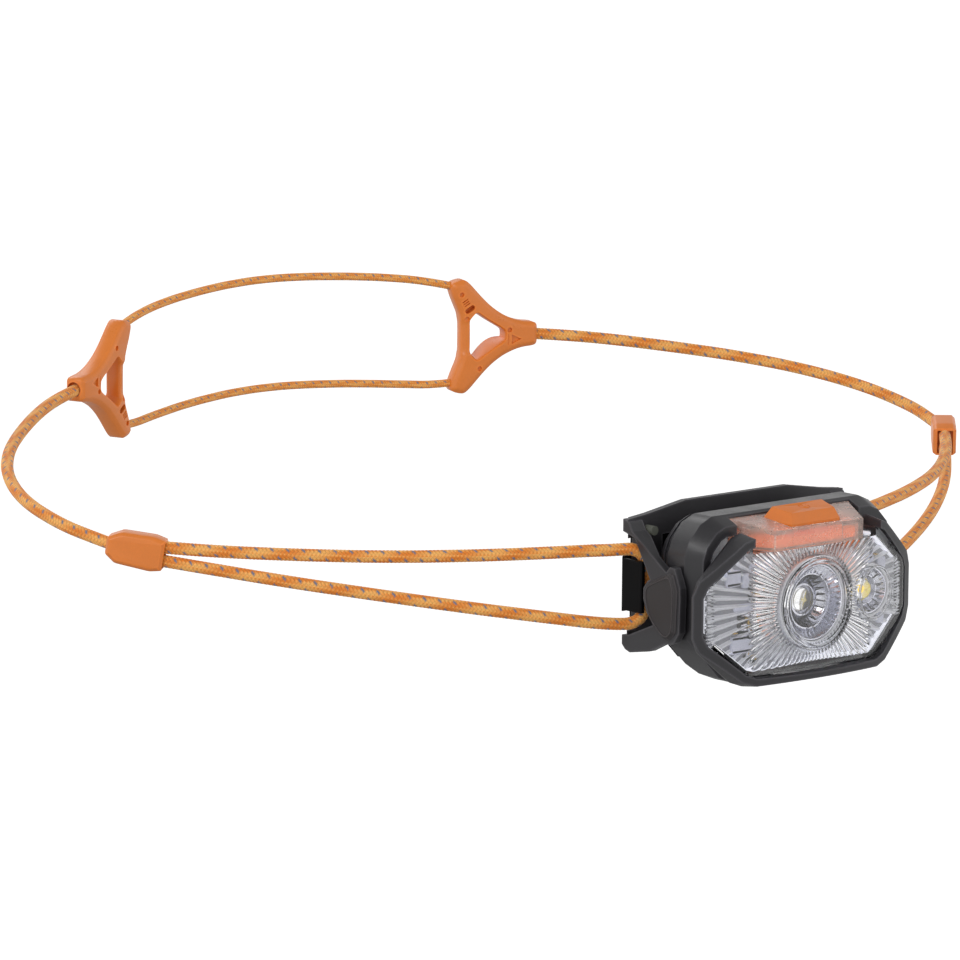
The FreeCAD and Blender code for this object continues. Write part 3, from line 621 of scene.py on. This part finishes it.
def cord(name, node, route, diameter):
    """A braided cord along a route."""
    line, run = spline_line(route)
    side, up = frames_along(line)
    turn = np.arange(AROUND) / AROUND
    pitch = diameter * STRAND_PITCH
    grid_run, grid_turn = np.meshgrid(run, turn, indexing="ij")
    height, tracer, shade = braid_relief(grid_run, grid_turn, pitch)
    relief = diameter * STRAND_HEIGHT
    radius = diameter / 2 - relief * 0.7 + relief * height
    angle = 2 * np.pi * grid_turn
    out = np.cos(angle)[..., None] * side[:, None] + np.sin(angle)[..., None] * up[:, None]
    points = line[:, None] + radius[..., None] * out
    rings = len(run)
    faces = tube_faces(rings, AROUND)
    faces.append(tuple(range(AROUND))[::-1])
    faces.append(tuple((rings - 1) * AROUND + k for k in range(AROUND)))
    obj = place(name, points.reshape(-1, 3), faces, braid_yarn, 180.0)
    mesh = obj.data
    colour = np.stack([tracer, height, shade, np.ones_like(height)], -1).reshape(-1)
    layer = mesh.color_attributes.new("braid", "FLOAT_COLOR", "POINT")
    layer.data.foreach_set("color", colour.astype(np.float32))
    uv = mesh.uv_layers.new(name="yarn")
    corner = np.zeros(len(mesh.loops), int)
    mesh.loops.foreach_get("vertex_index", corner)
    strand = (grid_run / pitch * YARN_FINENESS - CARRIERS * grid_turn * YARN_FINENESS).reshape(-1)
    across = grid_turn.reshape(-1)
    pairs = np.stack([strand[corner], across[corner]], 1)
    uv.data.foreach_set("uv", pairs.reshape(-1).astype(np.float32))
    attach(obj, "bracket")
    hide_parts(node)


def both_halves(half):
    """A route that crosses the middle, from its half at +X."""
    return half + [(-x, y, z) for x, y, z in reversed(half)]


def on_side(points, sign):
    """A route given at -X, or its mirror image at +X."""
    return [(x * sign, y, z) for x, y, z in points]


front_route = UPPER_STRAND + ROUND_EAR + LOWER_STRAND[::-1]
for label, sign in SIDES:
    cord(f"{label}_front_cord_braid", f"{label}_front_cord", on_side(front_route, sign),
         CORD_D)
    cord(f"{label}_side_cord_braid", f"{label}_side_cord", on_side(SIDE_ROUTE, sign),
         CORD_D)
cord("upper_rear_cord_braid", "upper_rear_cord", both_halves(UPPER_REAR_HALF),
     REAR_CORD_D)
cord("lower_rear_cord_braid", "lower_rear_cord", both_halves(LOWER_REAR_HALF),
     REAR_CORD_D)


# ---------------------------------------------------------------- casing and bracket
solid("front_bezel", "bezel_shell", bezel_plastic, 0.32, hoops=True)
solid("front_housing", "front_housing_shell", housing_plastic, 0.3, hoops=True)
solid("rear_housing", "rear_housing_shell", housing_plastic, 0.3, hoops=True)
solid("bracket_frame", "bracket_shell", charcoal, 0.3)
solid("forehead_plate", "forehead_plate_shell", black_plate, 0.2)
solid("port_cover", "port_cover_flap", black_rubber, 0.15)
solid("light_guide", "light_guide_block", frosted_plastic, 0.22)
for label, _ in SIDES:
    solid(f"{label}_pivot_cover", f"{label}_pivot_label", label_plastic, 0.15)

LABEL_X = -25.52
LABEL_LINE = [(-12.8, 2.6), (-8.1, 0.5), (-7.6, -0.5), (-7.6, -1.8), (-8.6, -4.6), (-11.5, -7.2),
              (-12.9, -7.5), (-14.0, -6.4), (-14.3, 0.3), (-13.5, 2.4)]
for label, sign in SIDES:
    line = [(LABEL_X * sign, y, z) for y, z in softened(LABEL_LINE, 2, 0.2)]
    piece(f"{label}_label_line", sweep_mesh(line, 0.1, 8, closed=True), label_plastic, "bracket",
          f"{label}_pivot_cover", False)

for node, mat in (("housing_seal", black_rubber), ("button_membrane", glowing_orange_bed),
                  ("reflector", tray_plastic), ("side_leds", white_plastic),
                  ("circuit_board", board_mask), ("tact_switch", steel),
                  ("battery_cell", cell_wrap), ("battery_cradle", white_plastic),
                  ("charging_port", steel), ("casing_screws", steel), ("pivot_pins", nylon),
                  ("left_friction_washer", nylon), ("right_friction_washer", nylon),
                  ("left_tilt_bumper", grey_rubber), ("right_tilt_bumper", grey_rubber)):
    NODES[node].data.materials.clear()
    NODES[node].data.materials.append(mat)


# ---------------------------------------------------------------- button with its power sign
def power_sign():
    """A broken ring and a short bar, sunk in the sloping top of the button."""
    top_y, top_z, slope = -15.0, 13.45, 1.5 / 8.0
    centre = -18.9

    def on_top(x, y):
        """A point on the slope."""
        return (x, y, top_z + slope * (y - top_y))

    turns = np.radians(np.arange(38, 323, 12))
    ring = [on_top(0.95 * math.sin(a), centre + 0.95 * math.cos(a)) for a in turns]
    stroke = [on_top(0, centre + 0.35), on_top(0, centre + 1.2)]
    return [sweep_mesh(ring, 0.14), sweep_mesh(stroke, 0.14)]


cut(solid("button", "button_cap", orange_rubber, 0.3, 3), power_sign())


# ---------------------------------------------------------------- lens
OPTIC = (0.0, -3.2)
SPOT = (14.4, -3.2)
LENS_FRONT, LENS_BACK = -22.8, -17.55
LENS_RADIUS = 86.0                           # of the curve of its front, seen from above
LENS_WALL = 1.25                             # thickness of its front
RIM_RING = 8.1                               # outer radius of the ring over the main optic
RIBS = 72
RUNG_PITCH = 0.55                            # of the ladders at both ends
LENS_CORNERS = [(14.1, -14.45), (15.55, -14.05), (22.45, -8.1), (23.25, -6.7), (23.25, 0.15),
                (22.9, 1.4), (15.4, 7.9), (13.9, 8.15)]
LENS_LOOP = LENS_CORNERS + [(-x, z) for x, z in reversed(LENS_CORNERS)]


def lens_face(x):
    """The y of the lens's curved front at a given x."""
    return LENS_FRONT + LENS_RADIUS - np.sqrt(LENS_RADIUS ** 2 - x ** 2)


def reach(angles, loop, centre):
    """Distance from a centre to a convex outline in each direction."""
    loop = np.asarray(loop, float) - centre
    after = np.roll(loop, -1, axis=0)
    out = np.full(len(angles), 1e9)
    d = np.stack([np.cos(angles), np.sin(angles)], 1)
    for p, q in zip(loop, after):
        e = q - p
        det = d[:, 0] * e[1] - d[:, 1] * e[0]
        with np.errstate(divide="ignore", invalid="ignore"):
            t = (p[0] * e[1] - p[1] * e[0]) / det
            s = (p[0] * d[:, 1] - p[1] * d[:, 0]) / det
        hit = (np.abs(det) > 1e-9) & (t > 0) & (s >= -1e-6) & (s <= 1 + 1e-6)
        out = np.where(hit, np.minimum(out, t), out)
    return out


def soft_step(value, low, high):
    """0 below low, 1 above high and smooth between."""
    t = np.clip((value - low) / (high - low), 0, 1)
    return t * t * (3 - 2 * t)


def rib_relief(x, z, turn, radius, rim):
    """Height of the ribs moulded on the inside of the lens: a fan, and a ladder at each end."""
    phase = np.mod(turn * RIBS, 1.0)
    fan = soft_step(0.5 - np.abs(phase - 0.5), 0.12, 0.42)
    fan = fan * soft_step(radius, 8.2, 9.2) * soft_step(rim - radius, 1.2, 2.4)
    near_spot = np.hypot(x - SPOT[0], z - SPOT[1])
    fan = fan * soft_step(near_spot, 4.6, 5.6) * soft_step(14.6 - np.abs(x), 0.0, 2.5)
    rung = soft_step(0.5 - np.abs(np.mod(z / RUNG_PITCH, 1.0) - 0.5), 0.1, 0.4)
    ladder = rung * soft_step(np.abs(x), 20.0, 20.8) * soft_step(rim - radius, 1.1, 1.8)
    return 0.5 * fan + 0.15 * ladder


def lens_mesh():
    """The clear cover: its curved front with a ring over the main optic, and a ribbed inside."""
    count = RIBS * 10
    angles = np.arange(count) / count * 2 * math.pi
    rim = reach(angles, LENS_LOOP, OPTIC)
    rows = []

    def row(radius, depth, inner=False):
        """A ring of points, depth behind the front, or on the flat back where depth is None."""
        x = OPTIC[0] + radius * np.cos(angles)
        z = OPTIC[1] + radius * np.sin(angles)
        y = np.full(count, LENS_BACK) if depth is None else lens_face(x) + depth
        if inner:
            y = y + rib_relief(x, z, angles / (2 * math.pi), radius, rim)
        rows.append(np.stack([x, y, z], 1))

    flat = np.ones(count)
    for radius in (0.02, 1.5, 3.0, 4.5, 6.0, 6.55):
        row(radius * flat, 0.0)
    for radius, depth in ((6.7, -0.06), (6.8, -0.2), (7.0, -0.28), (7.2, -0.24), (7.3, -0.16),
                          (7.42, -0.17), (7.55, -0.32), (7.75, -0.36), (7.92, -0.26), (8.0, -0.08),
                          (RIM_RING, 0.0)):
        row(radius * flat, depth)
    steps = 16
    for k in range(1, steps + 1):
        row(RIM_RING + (rim - 0.95 - RIM_RING) * k / steps, 0.0)
    row(rim - 0.5, 0.03)
    row(rim - 0.1, 0.3)
    row(rim, 0.42)
    row(rim, None)
    row(rim - 1.15, None)
    row(rim - 1.25, 1.5)
    for k in range(steps * 2, -1, -1):
        row(RIM_RING + (rim - 1.35 - RIM_RING) * k / (steps * 2), LENS_WALL, inner=True)
    for radius in (7.4, 6.7, 4.0, 0.02):
        row(radius * flat, LENS_WALL)
    points = np.concatenate(rows)
    faces = tube_faces(len(rows), count)
    faces.append(tuple(range(count))[::-1])
    faces.append(tuple((len(rows) - 1) * count + k for k in range(count)))
    return points, faces


def edge_glow_strip():
    """A pale glowing strip just inside the lens wall: a painted highlight that makes the clear edge read
    as bright.
    """
    count = 360
    angles = np.arange(count) / count * 2 * math.pi
    rim = reach(angles, LENS_LOOP, OPTIC)
    rows = []
    for by, back in ((1.4, False), (1.65, False), (1.65, True), (1.4, True)):
        x = OPTIC[0] + (rim - by) * np.cos(angles)
        z = OPTIC[1] + (rim - by) * np.sin(angles)
        y = np.full(count, LENS_BACK - 0.2) if back else lens_face(x) + 1.75
        rows.append(np.stack([x, y, z], 1))
    return np.concatenate(rows), tube_faces(4, count, closed=True)


# the glowing highlight strip and the cover are cut away where the light guide sits
glow_strip = outwards(place("lens_edge_glow", *edge_glow_strip(), lit_edge, 30.0))
cut(glow_strip, [box_mesh((-14.5, -30, 5.9), (14.5, -10, 15))], 30.0)
mounted(glow_strip, "lamp", "reflector", False)

lens_obj = outwards(place("lens_cover", *lens_mesh(), clear_plastic, 30.0))
cut(lens_obj, [box_mesh((-14.2, -30, 6.55), (14.2, -10, 15))], 30.0)
mounted(lens_obj, "lamp", "lens")

ring = []
for a in np.radians(np.arange(0, 360, 5)):
    x, z = SPOT[0] + 4.35 * math.cos(a), SPOT[1] + 4.35 * math.sin(a)
    ring.append((x, lens_face(x) - 0.02, z))
piece("spot_ring", sweep_mesh(ring, 0.24, 10, closed=True), clear_plastic, "lamp", "lens", False)


# ---------------------------------------------------------------- optics and their tray
def faceted(samples, rows_cut, depth):
    """Teeth on some rows of a revolved profile: a ramp of samples points and a step back."""
    def lift(i, k):
        """How far point k of slice i is moved along Y."""
        return depth * (i % samples / (samples - 1.0) - 0.5) if k in rows_cut else 0.0
    return lift


main_bowl = [(6.75, -20.7), (6.6, -20.95), (6.35, -20.9), (6.2, -20.45), (5.6, -19.9),
             (5.0, -19.5), (4.75, -19.9), (4.5, -19.95), (4.2, -19.2), (3.5, -18.3),
             (2.95, -17.4), (2.3, -16.4), (2.2, -16.2), (3.4, -16.3), (5.2, -18.2), (6.75, -19.7)]
piece("main_optic_bowl", revolved(main_bowl, OPTIC, 240, faceted(6, (3, 4, 5), 1.1)), silvered,
      "lamp", "main_optic", True, 22.0)
main_dome = [(0.01, -19.3), (0.7, -19.2), (1.3, -18.9), (1.75, -18.4), (1.98, -17.8),
             (2.0, -17.5), (1.8, -17.3), (0.01, -17.3)]
piece("main_optic_dome", revolved(main_dome, OPTIC), optic_plastic, "lamp", "main_optic", False)
collar = [(2.05, -17.8), (2.45, -18.4), (2.75, -18.35), (2.65, -17.8), (2.2, -17.35)]
piece("main_optic_collar", revolved(collar, OPTIC), silvered, "lamp", "main_optic", False, 60.0)


def flute_rods(centre, count, inner, outer, radius):
    """Thin rods that fan out round a centre, between two points given as (distance, y)."""
    rods = []
    for k in range(count):
        a = 2 * math.pi * (k + 0.5) / count
        ends = [(centre[0] + q * math.cos(a), y, centre[1] + q * math.sin(a)) for q, y in (inner, outer)]
        rods.append(rod_mesh(*ends, radius, 8))
    return rods


# dark rods that paint shade lines in the main and spot optics
flutes = flute_rods(OPTIC, 22, (3.1, -18.35), (5.1, -19.95), 0.11)
flutes += flute_rods(SPOT, 12, (2.5, -18.35), (3.6, -18.95), 0.09)
piece("optic_flutes", joined(flutes), painted_shade, "lamp", "reflector", False)
spot_bowl = [(4.05, -19.0), (3.95, -19.25), (3.75, -19.2), (3.4, -18.5), (2.8, -17.9),
             (2.6, -18.3), (2.4, -18.3), (2.1, -17.4), (1.6, -16.4), (2.4, -16.3), (4.0, -18.0)]
piece("spot_optic_bowl", revolved(spot_bowl, SPOT, 144, faceted(6, (3, 4), 0.5)), silvered,
      "lamp", "spot_optic", True, 22.0)
spot_dome = [(0.01, -18.9), (0.8, -18.8), (1.4, -18.3), (1.75, -17.6), (1.75, -17.2), (0.01, -17.2)]
piece("spot_optic_dome", revolved(spot_dome, SPOT), optic_plastic, "lamp", "spot_optic", False)

chip = [(1.9, -16.0), (1.9, -16.5), (1.8, -16.6), (0.01, -16.6), (0.01, -16.0)]
glow = [(1.45, -16.62), (1.45, -16.8), (1.2, -17.05), (0.5, -17.2), (0.01, -17.2), (0.01, -16.62)]
piece("main_emitter_base", revolved(chip, OPTIC, 4), white_plastic, "lamp", "main_led")
piece("main_emitter_glow", revolved(glow, (-0.1, -3.2)), led_mat, "lamp", "main_led", False)
piece("spot_emitter_base", revolved(chip, SPOT, 4), white_plastic, "lamp", "spot_led")
piece("spot_emitter_glow", revolved(glow, SPOT), led_mat, "lamp", "spot_led", False)


def tray_wall(centre, radius, front):
    """A round wall that stands on the tray."""
    profile = [(radius, -18.2), (radius, front), (radius + 0.12, front - 0.1),
               (radius + 0.4, front - 0.1), (radius + 0.52, front), (radius + 0.6, -18.2)]
    return revolved(profile, centre)


walls = [tray_wall(OPTIC, 7.0, -20.6), tray_wall(SPOT, 4.15, -19.2)]
piece("optic_walls", joined(walls), pale_ribs, "lamp", "reflector", False)


def block(x0, x1, z0, z1, front=-18.95, edge=0.18):
    """A flat block with rounded corners and edges that stands on the tray."""
    corner = 0.25
    loop = softened([(x0 + corner, z0), (x1 - corner, z0), (x1, z0 + corner), (x1, z1 - corner),
                     (x1 - corner, z1), (x0 + corner, z1), (x0, z1 - corner), (x0, z0 + corner)], 1)
    return slab(loop, [], [(front, edge), (front + edge, 0.0), (-18.3, 0.0)])


windows = [block(-17.9, -14.6, 0.9, 3.7), block(-14.2, -12.6, 0.4, 2.9),
           block(-15.9, -8.6, -3.5, -2.3, -18.7), block(-16.6, -12.0, -10.6, -7.6),
           block(12.6, 15.6, 1.7, 3.4), block(16.6, 18.6, 0.2, 2.2),
           block(16.8, 18.4, -9.2, -7.4), block(-12.2, -7.4, 2.6, 4.6, -18.7),
           block(7.6, 11.6, 2.9, 4.4, -18.7)]
piece("diffuser_windows", joined(windows), diffuser, "lamp", "reflector", False)

# dark pads on the tray that paint shade seen through the lens
shades = [block(-15.0, -8.4, -7.4, -3.8, -18.6), block(-12.6, -8.4, -2.0, 0.8, -18.6),
          block(-13.6, -11.6, -12.0, -11.0, -18.6), block(11.4, 13.6, -9.6, -8.4, -18.6)]
piece("painted_shade", joined(shades), painted_shade, "lamp", "reflector", False)
slats = [block(-14.4, -8.8, z, z + 0.42, -18.8, 0.1) for z in (-4.5, -5.3, -6.1, -6.9)]
slats += [block(-12.0, -8.9, z, z + 0.4, -18.8, 0.1) for z in (-1.5, -0.7, 0.1)]
piece("emitter_slats", joined(slats), silvered, "lamp", "reflector", False)
specks = [block(x, x + 0.9, z, z + 0.3, -18.9, 0.06) for x, z in
          ((-13.6, -4.9), (-11.2, -4.85), (-12.8, -5.7), (-10.4, -6.5), (-13.0, -6.5),
           (-11.4, -1.05), (-10.0, -0.3), (-12.4, -11.2), (15.9, 2.6), (-16.2, -7.2), (11.6, 4.1))]
piece("gilt_pads", joined(specks), gilt, "lamp", "reflector", False)


def tray_blades():
    """Thin pale blades that fan out from the main optic over the tray: painted highlights that show as
    bright streaks through the lens's ribs.
    """
    parts = []
    for k in range(RIBS):
        a = 2 * math.pi * (k + 0.5) / RIBS
        d = np.array([math.cos(a), math.sin(a)])
        far = reach(np.array([a]), LENS_LOOP, OPTIC)[0] - 1.3
        spot_way = np.array(SPOT) - OPTIC
        close = abs(d[0] * spot_way[1] - d[1] * spot_way[0])
        near = 8.0
        if d.dot(spot_way) > 0 and close < 4.9:
            near = d.dot(spot_way) + math.sqrt(4.95 ** 2 - close ** 2)
        if d[1] > 0.25:                      # stays below the light guide and the button
            far = min(far, 8.6 / d[1])
        if far < near + 0.5:
            continue
        side = np.array([-d[1], d[0]])
        points = []
        for radius, wide in ((near, 0.025 * near), (far, 0.025 * far)):
            at = np.array(OPTIC) + d * radius
            top = wide * 0.25
            for off, y in ((-wide, -18.35), (-top, -18.85), (top, -18.85), (wide, -18.35)):
                p = at + side * off
                points.append((p[0], y, p[1]))
        faces = [(0, 1, 5, 4), (1, 2, 6, 5), (2, 3, 7, 6), (3, 0, 4, 7), (3, 2, 1, 0), (4, 5, 6, 7)]
        parts.append((points, faces))
    return joined(parts)


# pale rungs behind the lens's ladders: painted highlights for their bright bands
rungs = [block(-22.0, -20.4, z, z + 0.34, -18.75, 0.06) for z in np.arange(-8.6, 1.0, RUNG_PITCH)]
rungs += [block(20.6, 22.0, z, z + 0.34, -18.75, 0.06) for z in np.arange(-8.2, 0.8, RUNG_PITCH)]
piece("ladder_rungs", joined(rungs), pale_ribs, "lamp", "reflector", False)
piece("tray_blades", tray_blades(), pale_ribs, "lamp", "reflector", False)


# ---------------------------------------------------------------- clips and adjusters
def in_frame(points, centre, along, mirror):
    """Points (u, v, w) drawn along +X, moved to a centre with +X along a direction."""
    along = Vector(along).normalized()
    across = Vector((0, 0, 1)).cross(along).normalized()
    top = along.cross(across)
    out = []
    for u, v, w in points:
        p = Vector(centre) + along * u + across * v + top * w
        out.append((p.x * mirror, p.y, p.z))
    return out


CLIP_LOOP = [(-4.9, -1.3), (-3.1, -2.6), (2.9, -2.95), (4.9, -2.5), (4.9, 2.5), (2.9, 2.95),
             (-2.6, 2.8), (-4.9, 1.6)]
CLIP_HALF_THICK, ADJUSTER_HALF_THICK = 2.1, 1.9
CLIP_AT, CLIP_ALONG = (-93.9, 42.8, 7.2), (0.66, -0.735, -0.153)
ADJUSTER_HALF = [(7.5, 0.6), (7.5, 1.6), (7.2, 2.05), (6.4, 2.25), (5.1, 2.35), (3.8, 2.6),
                 (2.6, 3.0), (1.2, 3.6), (0.0, 4.3), (-1.2, 5.15), (-2.3, 6.1), (-3.4, 7.2),
                 (-4.5, 8.4), (-5.6, 9.6), (-6.5, 10.4), (-7.2, 10.6), (-8.6, 10.3), (-9.3, 9.9),
                 (-9.5, 9.2), (-9.1, 7.8), (-8.5, 6.3), (-8.0, 5.2), (-7.6, 4.2), (-7.45, 3.2),
                 (-7.4, 1.5)]
WINDOW_HALF = [(1.15, 0.35), (1.0, 0.95), (-1.4, 2.35), (-3.2, 3.5), (-4.3, 4.3), (-4.7, 4.2),
               (-5.6, 3.2), (-5.7, 2.8), (-5.65, 1.4)]
ADJUSTER_AT = (-47.0, 112.7, 21.5)
ADJUSTER_ALONG = (-math.cos(math.radians(20.0)), -math.sin(math.radians(20.0)), 0.0)
ADJUSTER_EDGE = [(-1.9, 0.9), (-1.84, 0.72), (-1.42, 0.12), (-1.22, 0.0)]
CLIP_EDGE = [(-1.9, 0.62), (-1.86, 0.52), (-1.42, 0.05), (-1.3, 0.0)]


def ring_levels(half_thick, edge):
    """The levels of a plate with the same edge, drawn for the adjuster's thickness, on both faces."""
    lower = [(v * half_thick / ADJUSTER_HALF_THICK, by) for v, by in edge]
    return lower + [(-v, by) for v, by in reversed(lower)]


def shaped_bar_and_leg(points):
    """Slim the upright bar behind the window, and swell the lower leg into the window at the back."""
    out = []
    for u, v, w in points:
        slim = float(soft_step(-u, 5.0, 5.9) * soft_step(3.6 - abs(w), 0.0, 1.2))
        along_leg = min(max((1.15 - u) / 6.0, 0.0), 1.0)
        # only the leg's inner side, behind the plate's middle, is swollen
        if 0.3 < -w < 1.9 + (1.0 - u) * 0.632 and -5.0 < u < 1.2 and v < 0:
            w = w + min(1.4 * math.sin(math.pi * along_leg) ** 0.7, -w - 0.25)
        out.append((u, v * (1 - 0.22 * slim), w))
    return out


def capsule(u, w, half, radius, tilt, v0, v1):
    """A cutter with a rounded oblong outline on an adjuster's face."""
    loop = []
    for end in (1, -1):
        for a in np.radians(np.arange(-90, 91, 22.5)):
            p = (end * half + radius * end * math.cos(a), radius * end * math.sin(a))
            loop.append((u + p[0] * math.cos(tilt) - p[1] * math.sin(tilt),
                         w + p[0] * math.sin(tilt) + p[1] * math.cos(tilt)))
    return slab(loop, [], [(v0, 0), (v1, 0)])


def make_clip(label, sign):
    """The clip that joins a side's front cord to its side cord, open at the front cord's end."""
    levels = ring_levels(CLIP_HALF_THICK, CLIP_EDGE)
    points, faces = slab(softened(CLIP_LOOP, 2, 0.07), [], levels)
    points = in_frame(points, CLIP_AT, CLIP_ALONG, sign)
    obj = outwards(place(f"{label}_cord_clip", points, faces, orange_plastic))
    mouth_loop = [(3.6, -2.05), (6.0, -2.25), (6.0, 2.25), (3.6, 2.05)]
    points, faces = slab(mouth_loop, [], [(-1.5, 0), (1.35, 0)])
    cut(obj, [(in_frame(points, CLIP_AT, CLIP_ALONG, sign), faces)])
    mounted(obj, "bracket", f"{label}_cord_joiner")


def make_adjuster(label, sign):
    """A side's adjuster, with its slot, holes, marks and cord hole cut into it."""
    flip = -sign                                 # the right one is fitted the other way up
    window = softened(mirrored_loop(WINDOW_HALF), 2)
    levels = ring_levels(ADJUSTER_HALF_THICK, ADJUSTER_EDGE)
    points, faces = slab(softened(mirrored_loop(ADJUSTER_HALF), 2), [window], levels, 0.3)
    points = in_frame(shaped_bar_and_leg(points), ADJUSTER_AT, ADJUSTER_ALONG, sign)
    obj = outwards(place(f"{label}_slider", points, faces, orange_plastic))
    lean = math.radians(32) * flip
    tools = [capsule(-5.95, 5.1 * flip, 0.55, 0.5, lean, 0.6, 3.0)]
    for u, w in ((-7.6, 7.9), (-6.5, 3.35), (1.9, 0.95), (-4.0, -6.0)):
        tools.append(rod_mesh((u, 1.5, w * flip), (u, 3.0, w * flip), 0.47))
    for k in range(3):
        tools.append(capsule(-6.5 - 0.22 * k, (6.0 + 0.36 * k) * flip, 0.55, 0.12, lean, 1.55, 3.0))
    arrow = [(2.3, 0.1 * flip), (4.2, -0.8 * flip), (2.3, -1.7 * flip)]
    tools.append(slab(arrow, [], [(1.5, 0), (3.0, 0)]))
    tools.append(capsule(1.65, -0.85 * flip, 0.95, 0.1, math.radians(90), 1.8, 3.0))
    tools.append(rod_mesh((6.4, 0, 0), (9.0, 0, 0), 1.35))
    cut(obj, [(in_frame(p, ADJUSTER_AT, ADJUSTER_ALONG, sign), f) for p, f in tools])
    mounted(obj, "bracket", f"{label}_adjuster")


for label, sign in SIDES:
    make_clip(label, sign)
    make_adjuster(label, sign)


# ---------------------------------------------------------------- stage, lights and camera
def area_light(name, energy, size, at, to):
    """A rectangular white light at one point, turned towards another."""
    light = bpy.data.lights.new(name, "AREA")
    light.energy = energy
    light.shape = "RECTANGLE"
    light.size, light.size_y = size
    obj = bpy.data.objects.new(name, light)
    obj.location = at
    obj.rotation_euler = (Vector(to) - Vector(at)).to_track_quat("-Z", "Y").to_euler()
    bpy.context.scene.collection.objects.link(obj)


area_light("key", 3.6, (0.5, 0.4), (-0.85, -0.20, 0.72), (0, 0, 0))
area_light("fill", 1.0, (0.8, 0.6), (0.55, -0.75, 0.45), (0, 0, 0))
area_light("back", 1.6, (0.8, 0.4), (0.1, 0.8, 0.55), (0, 0.05, 0))

world = bpy.data.worlds.new("studio")
bpy.context.scene.world = world
world.use_nodes = True
sky = world.node_tree
way = add(sky, "ShaderNodeTexCoord").outputs["Generated"]
height = add(sky, "ShaderNodeSeparateXYZ", {"Vector": way}).outputs["Z"]
links = {"Value": height, "From Min": 0.12, "From Max": 0.75, "To Min": 1.0, "To Max": 0.42}
ceiling = add(sky, "ShaderNodeMapRange", links).outputs["Result"]
links = {"Value": height, "From Min": -0.12, "From Max": -0.5, "To Min": 1.0, "To Max": 0.45}
below = add(sky, "ShaderNodeMapRange", links).outputs["Result"]
both = add(sky, "ShaderNodeMath", {0: ceiling, 1: below}, operation="MULTIPLY")
sky.nodes["Background"].inputs["Color"].default_value = (1, 1, 1, 1)
sky.links.new(both.outputs[0], sky.nodes["Background"].inputs["Strength"])

floor_mat, _, floor_shader, _ = base("floor", Roughness=0.9)
floor_shader.inputs["Base Color"].default_value = (0.9, 0.9, 0.9, 1)
floor_shader.inputs["Emission Color"].default_value = (1, 1, 1, 1)
floor_shader.inputs["Emission Strength"].default_value = 0.6
FLOOR_Z, FLOOR_HALF = -1500, 20000           # low enough to leave the underside in view
corners = [(x * FLOOR_HALF, y * FLOOR_HALF, FLOOR_Z) for x, y in ((-1, -1), (1, -1), (1, 1), (-1, 1))]
floor = place("floor", corners, [(0, 1, 2, 3)], floor_mat)
floor.visible_diffuse = False
floor.visible_glossy = False

CAMERA_AT = (-0.86851, -0.92448, 0.23399)    # metres
camera = bpy.data.cameras.new("camera")
camera.lens = 284.81
camera.sensor_width = 36.0
camera.clip_start, camera.clip_end = 0.05, 50.0
cam = bpy.data.objects.new("camera", camera)
bpy.context.scene.collection.objects.link(cam)
bpy.context.scene.camera = cam
across = Vector((0.7520, -0.6591, 0.00858))
upward = Vector((0.10622, 0.13402, 0.98527))
backward = across.cross(upward).normalized()
upward = backward.cross(across).normalized()
turned = Matrix((across, upward, backward)).transposed()
cam.matrix_world = Matrix.Translation(CAMERA_AT) @ turned.to_4x4()
bpy.context.scene.view_settings.view_transform = "Standard"
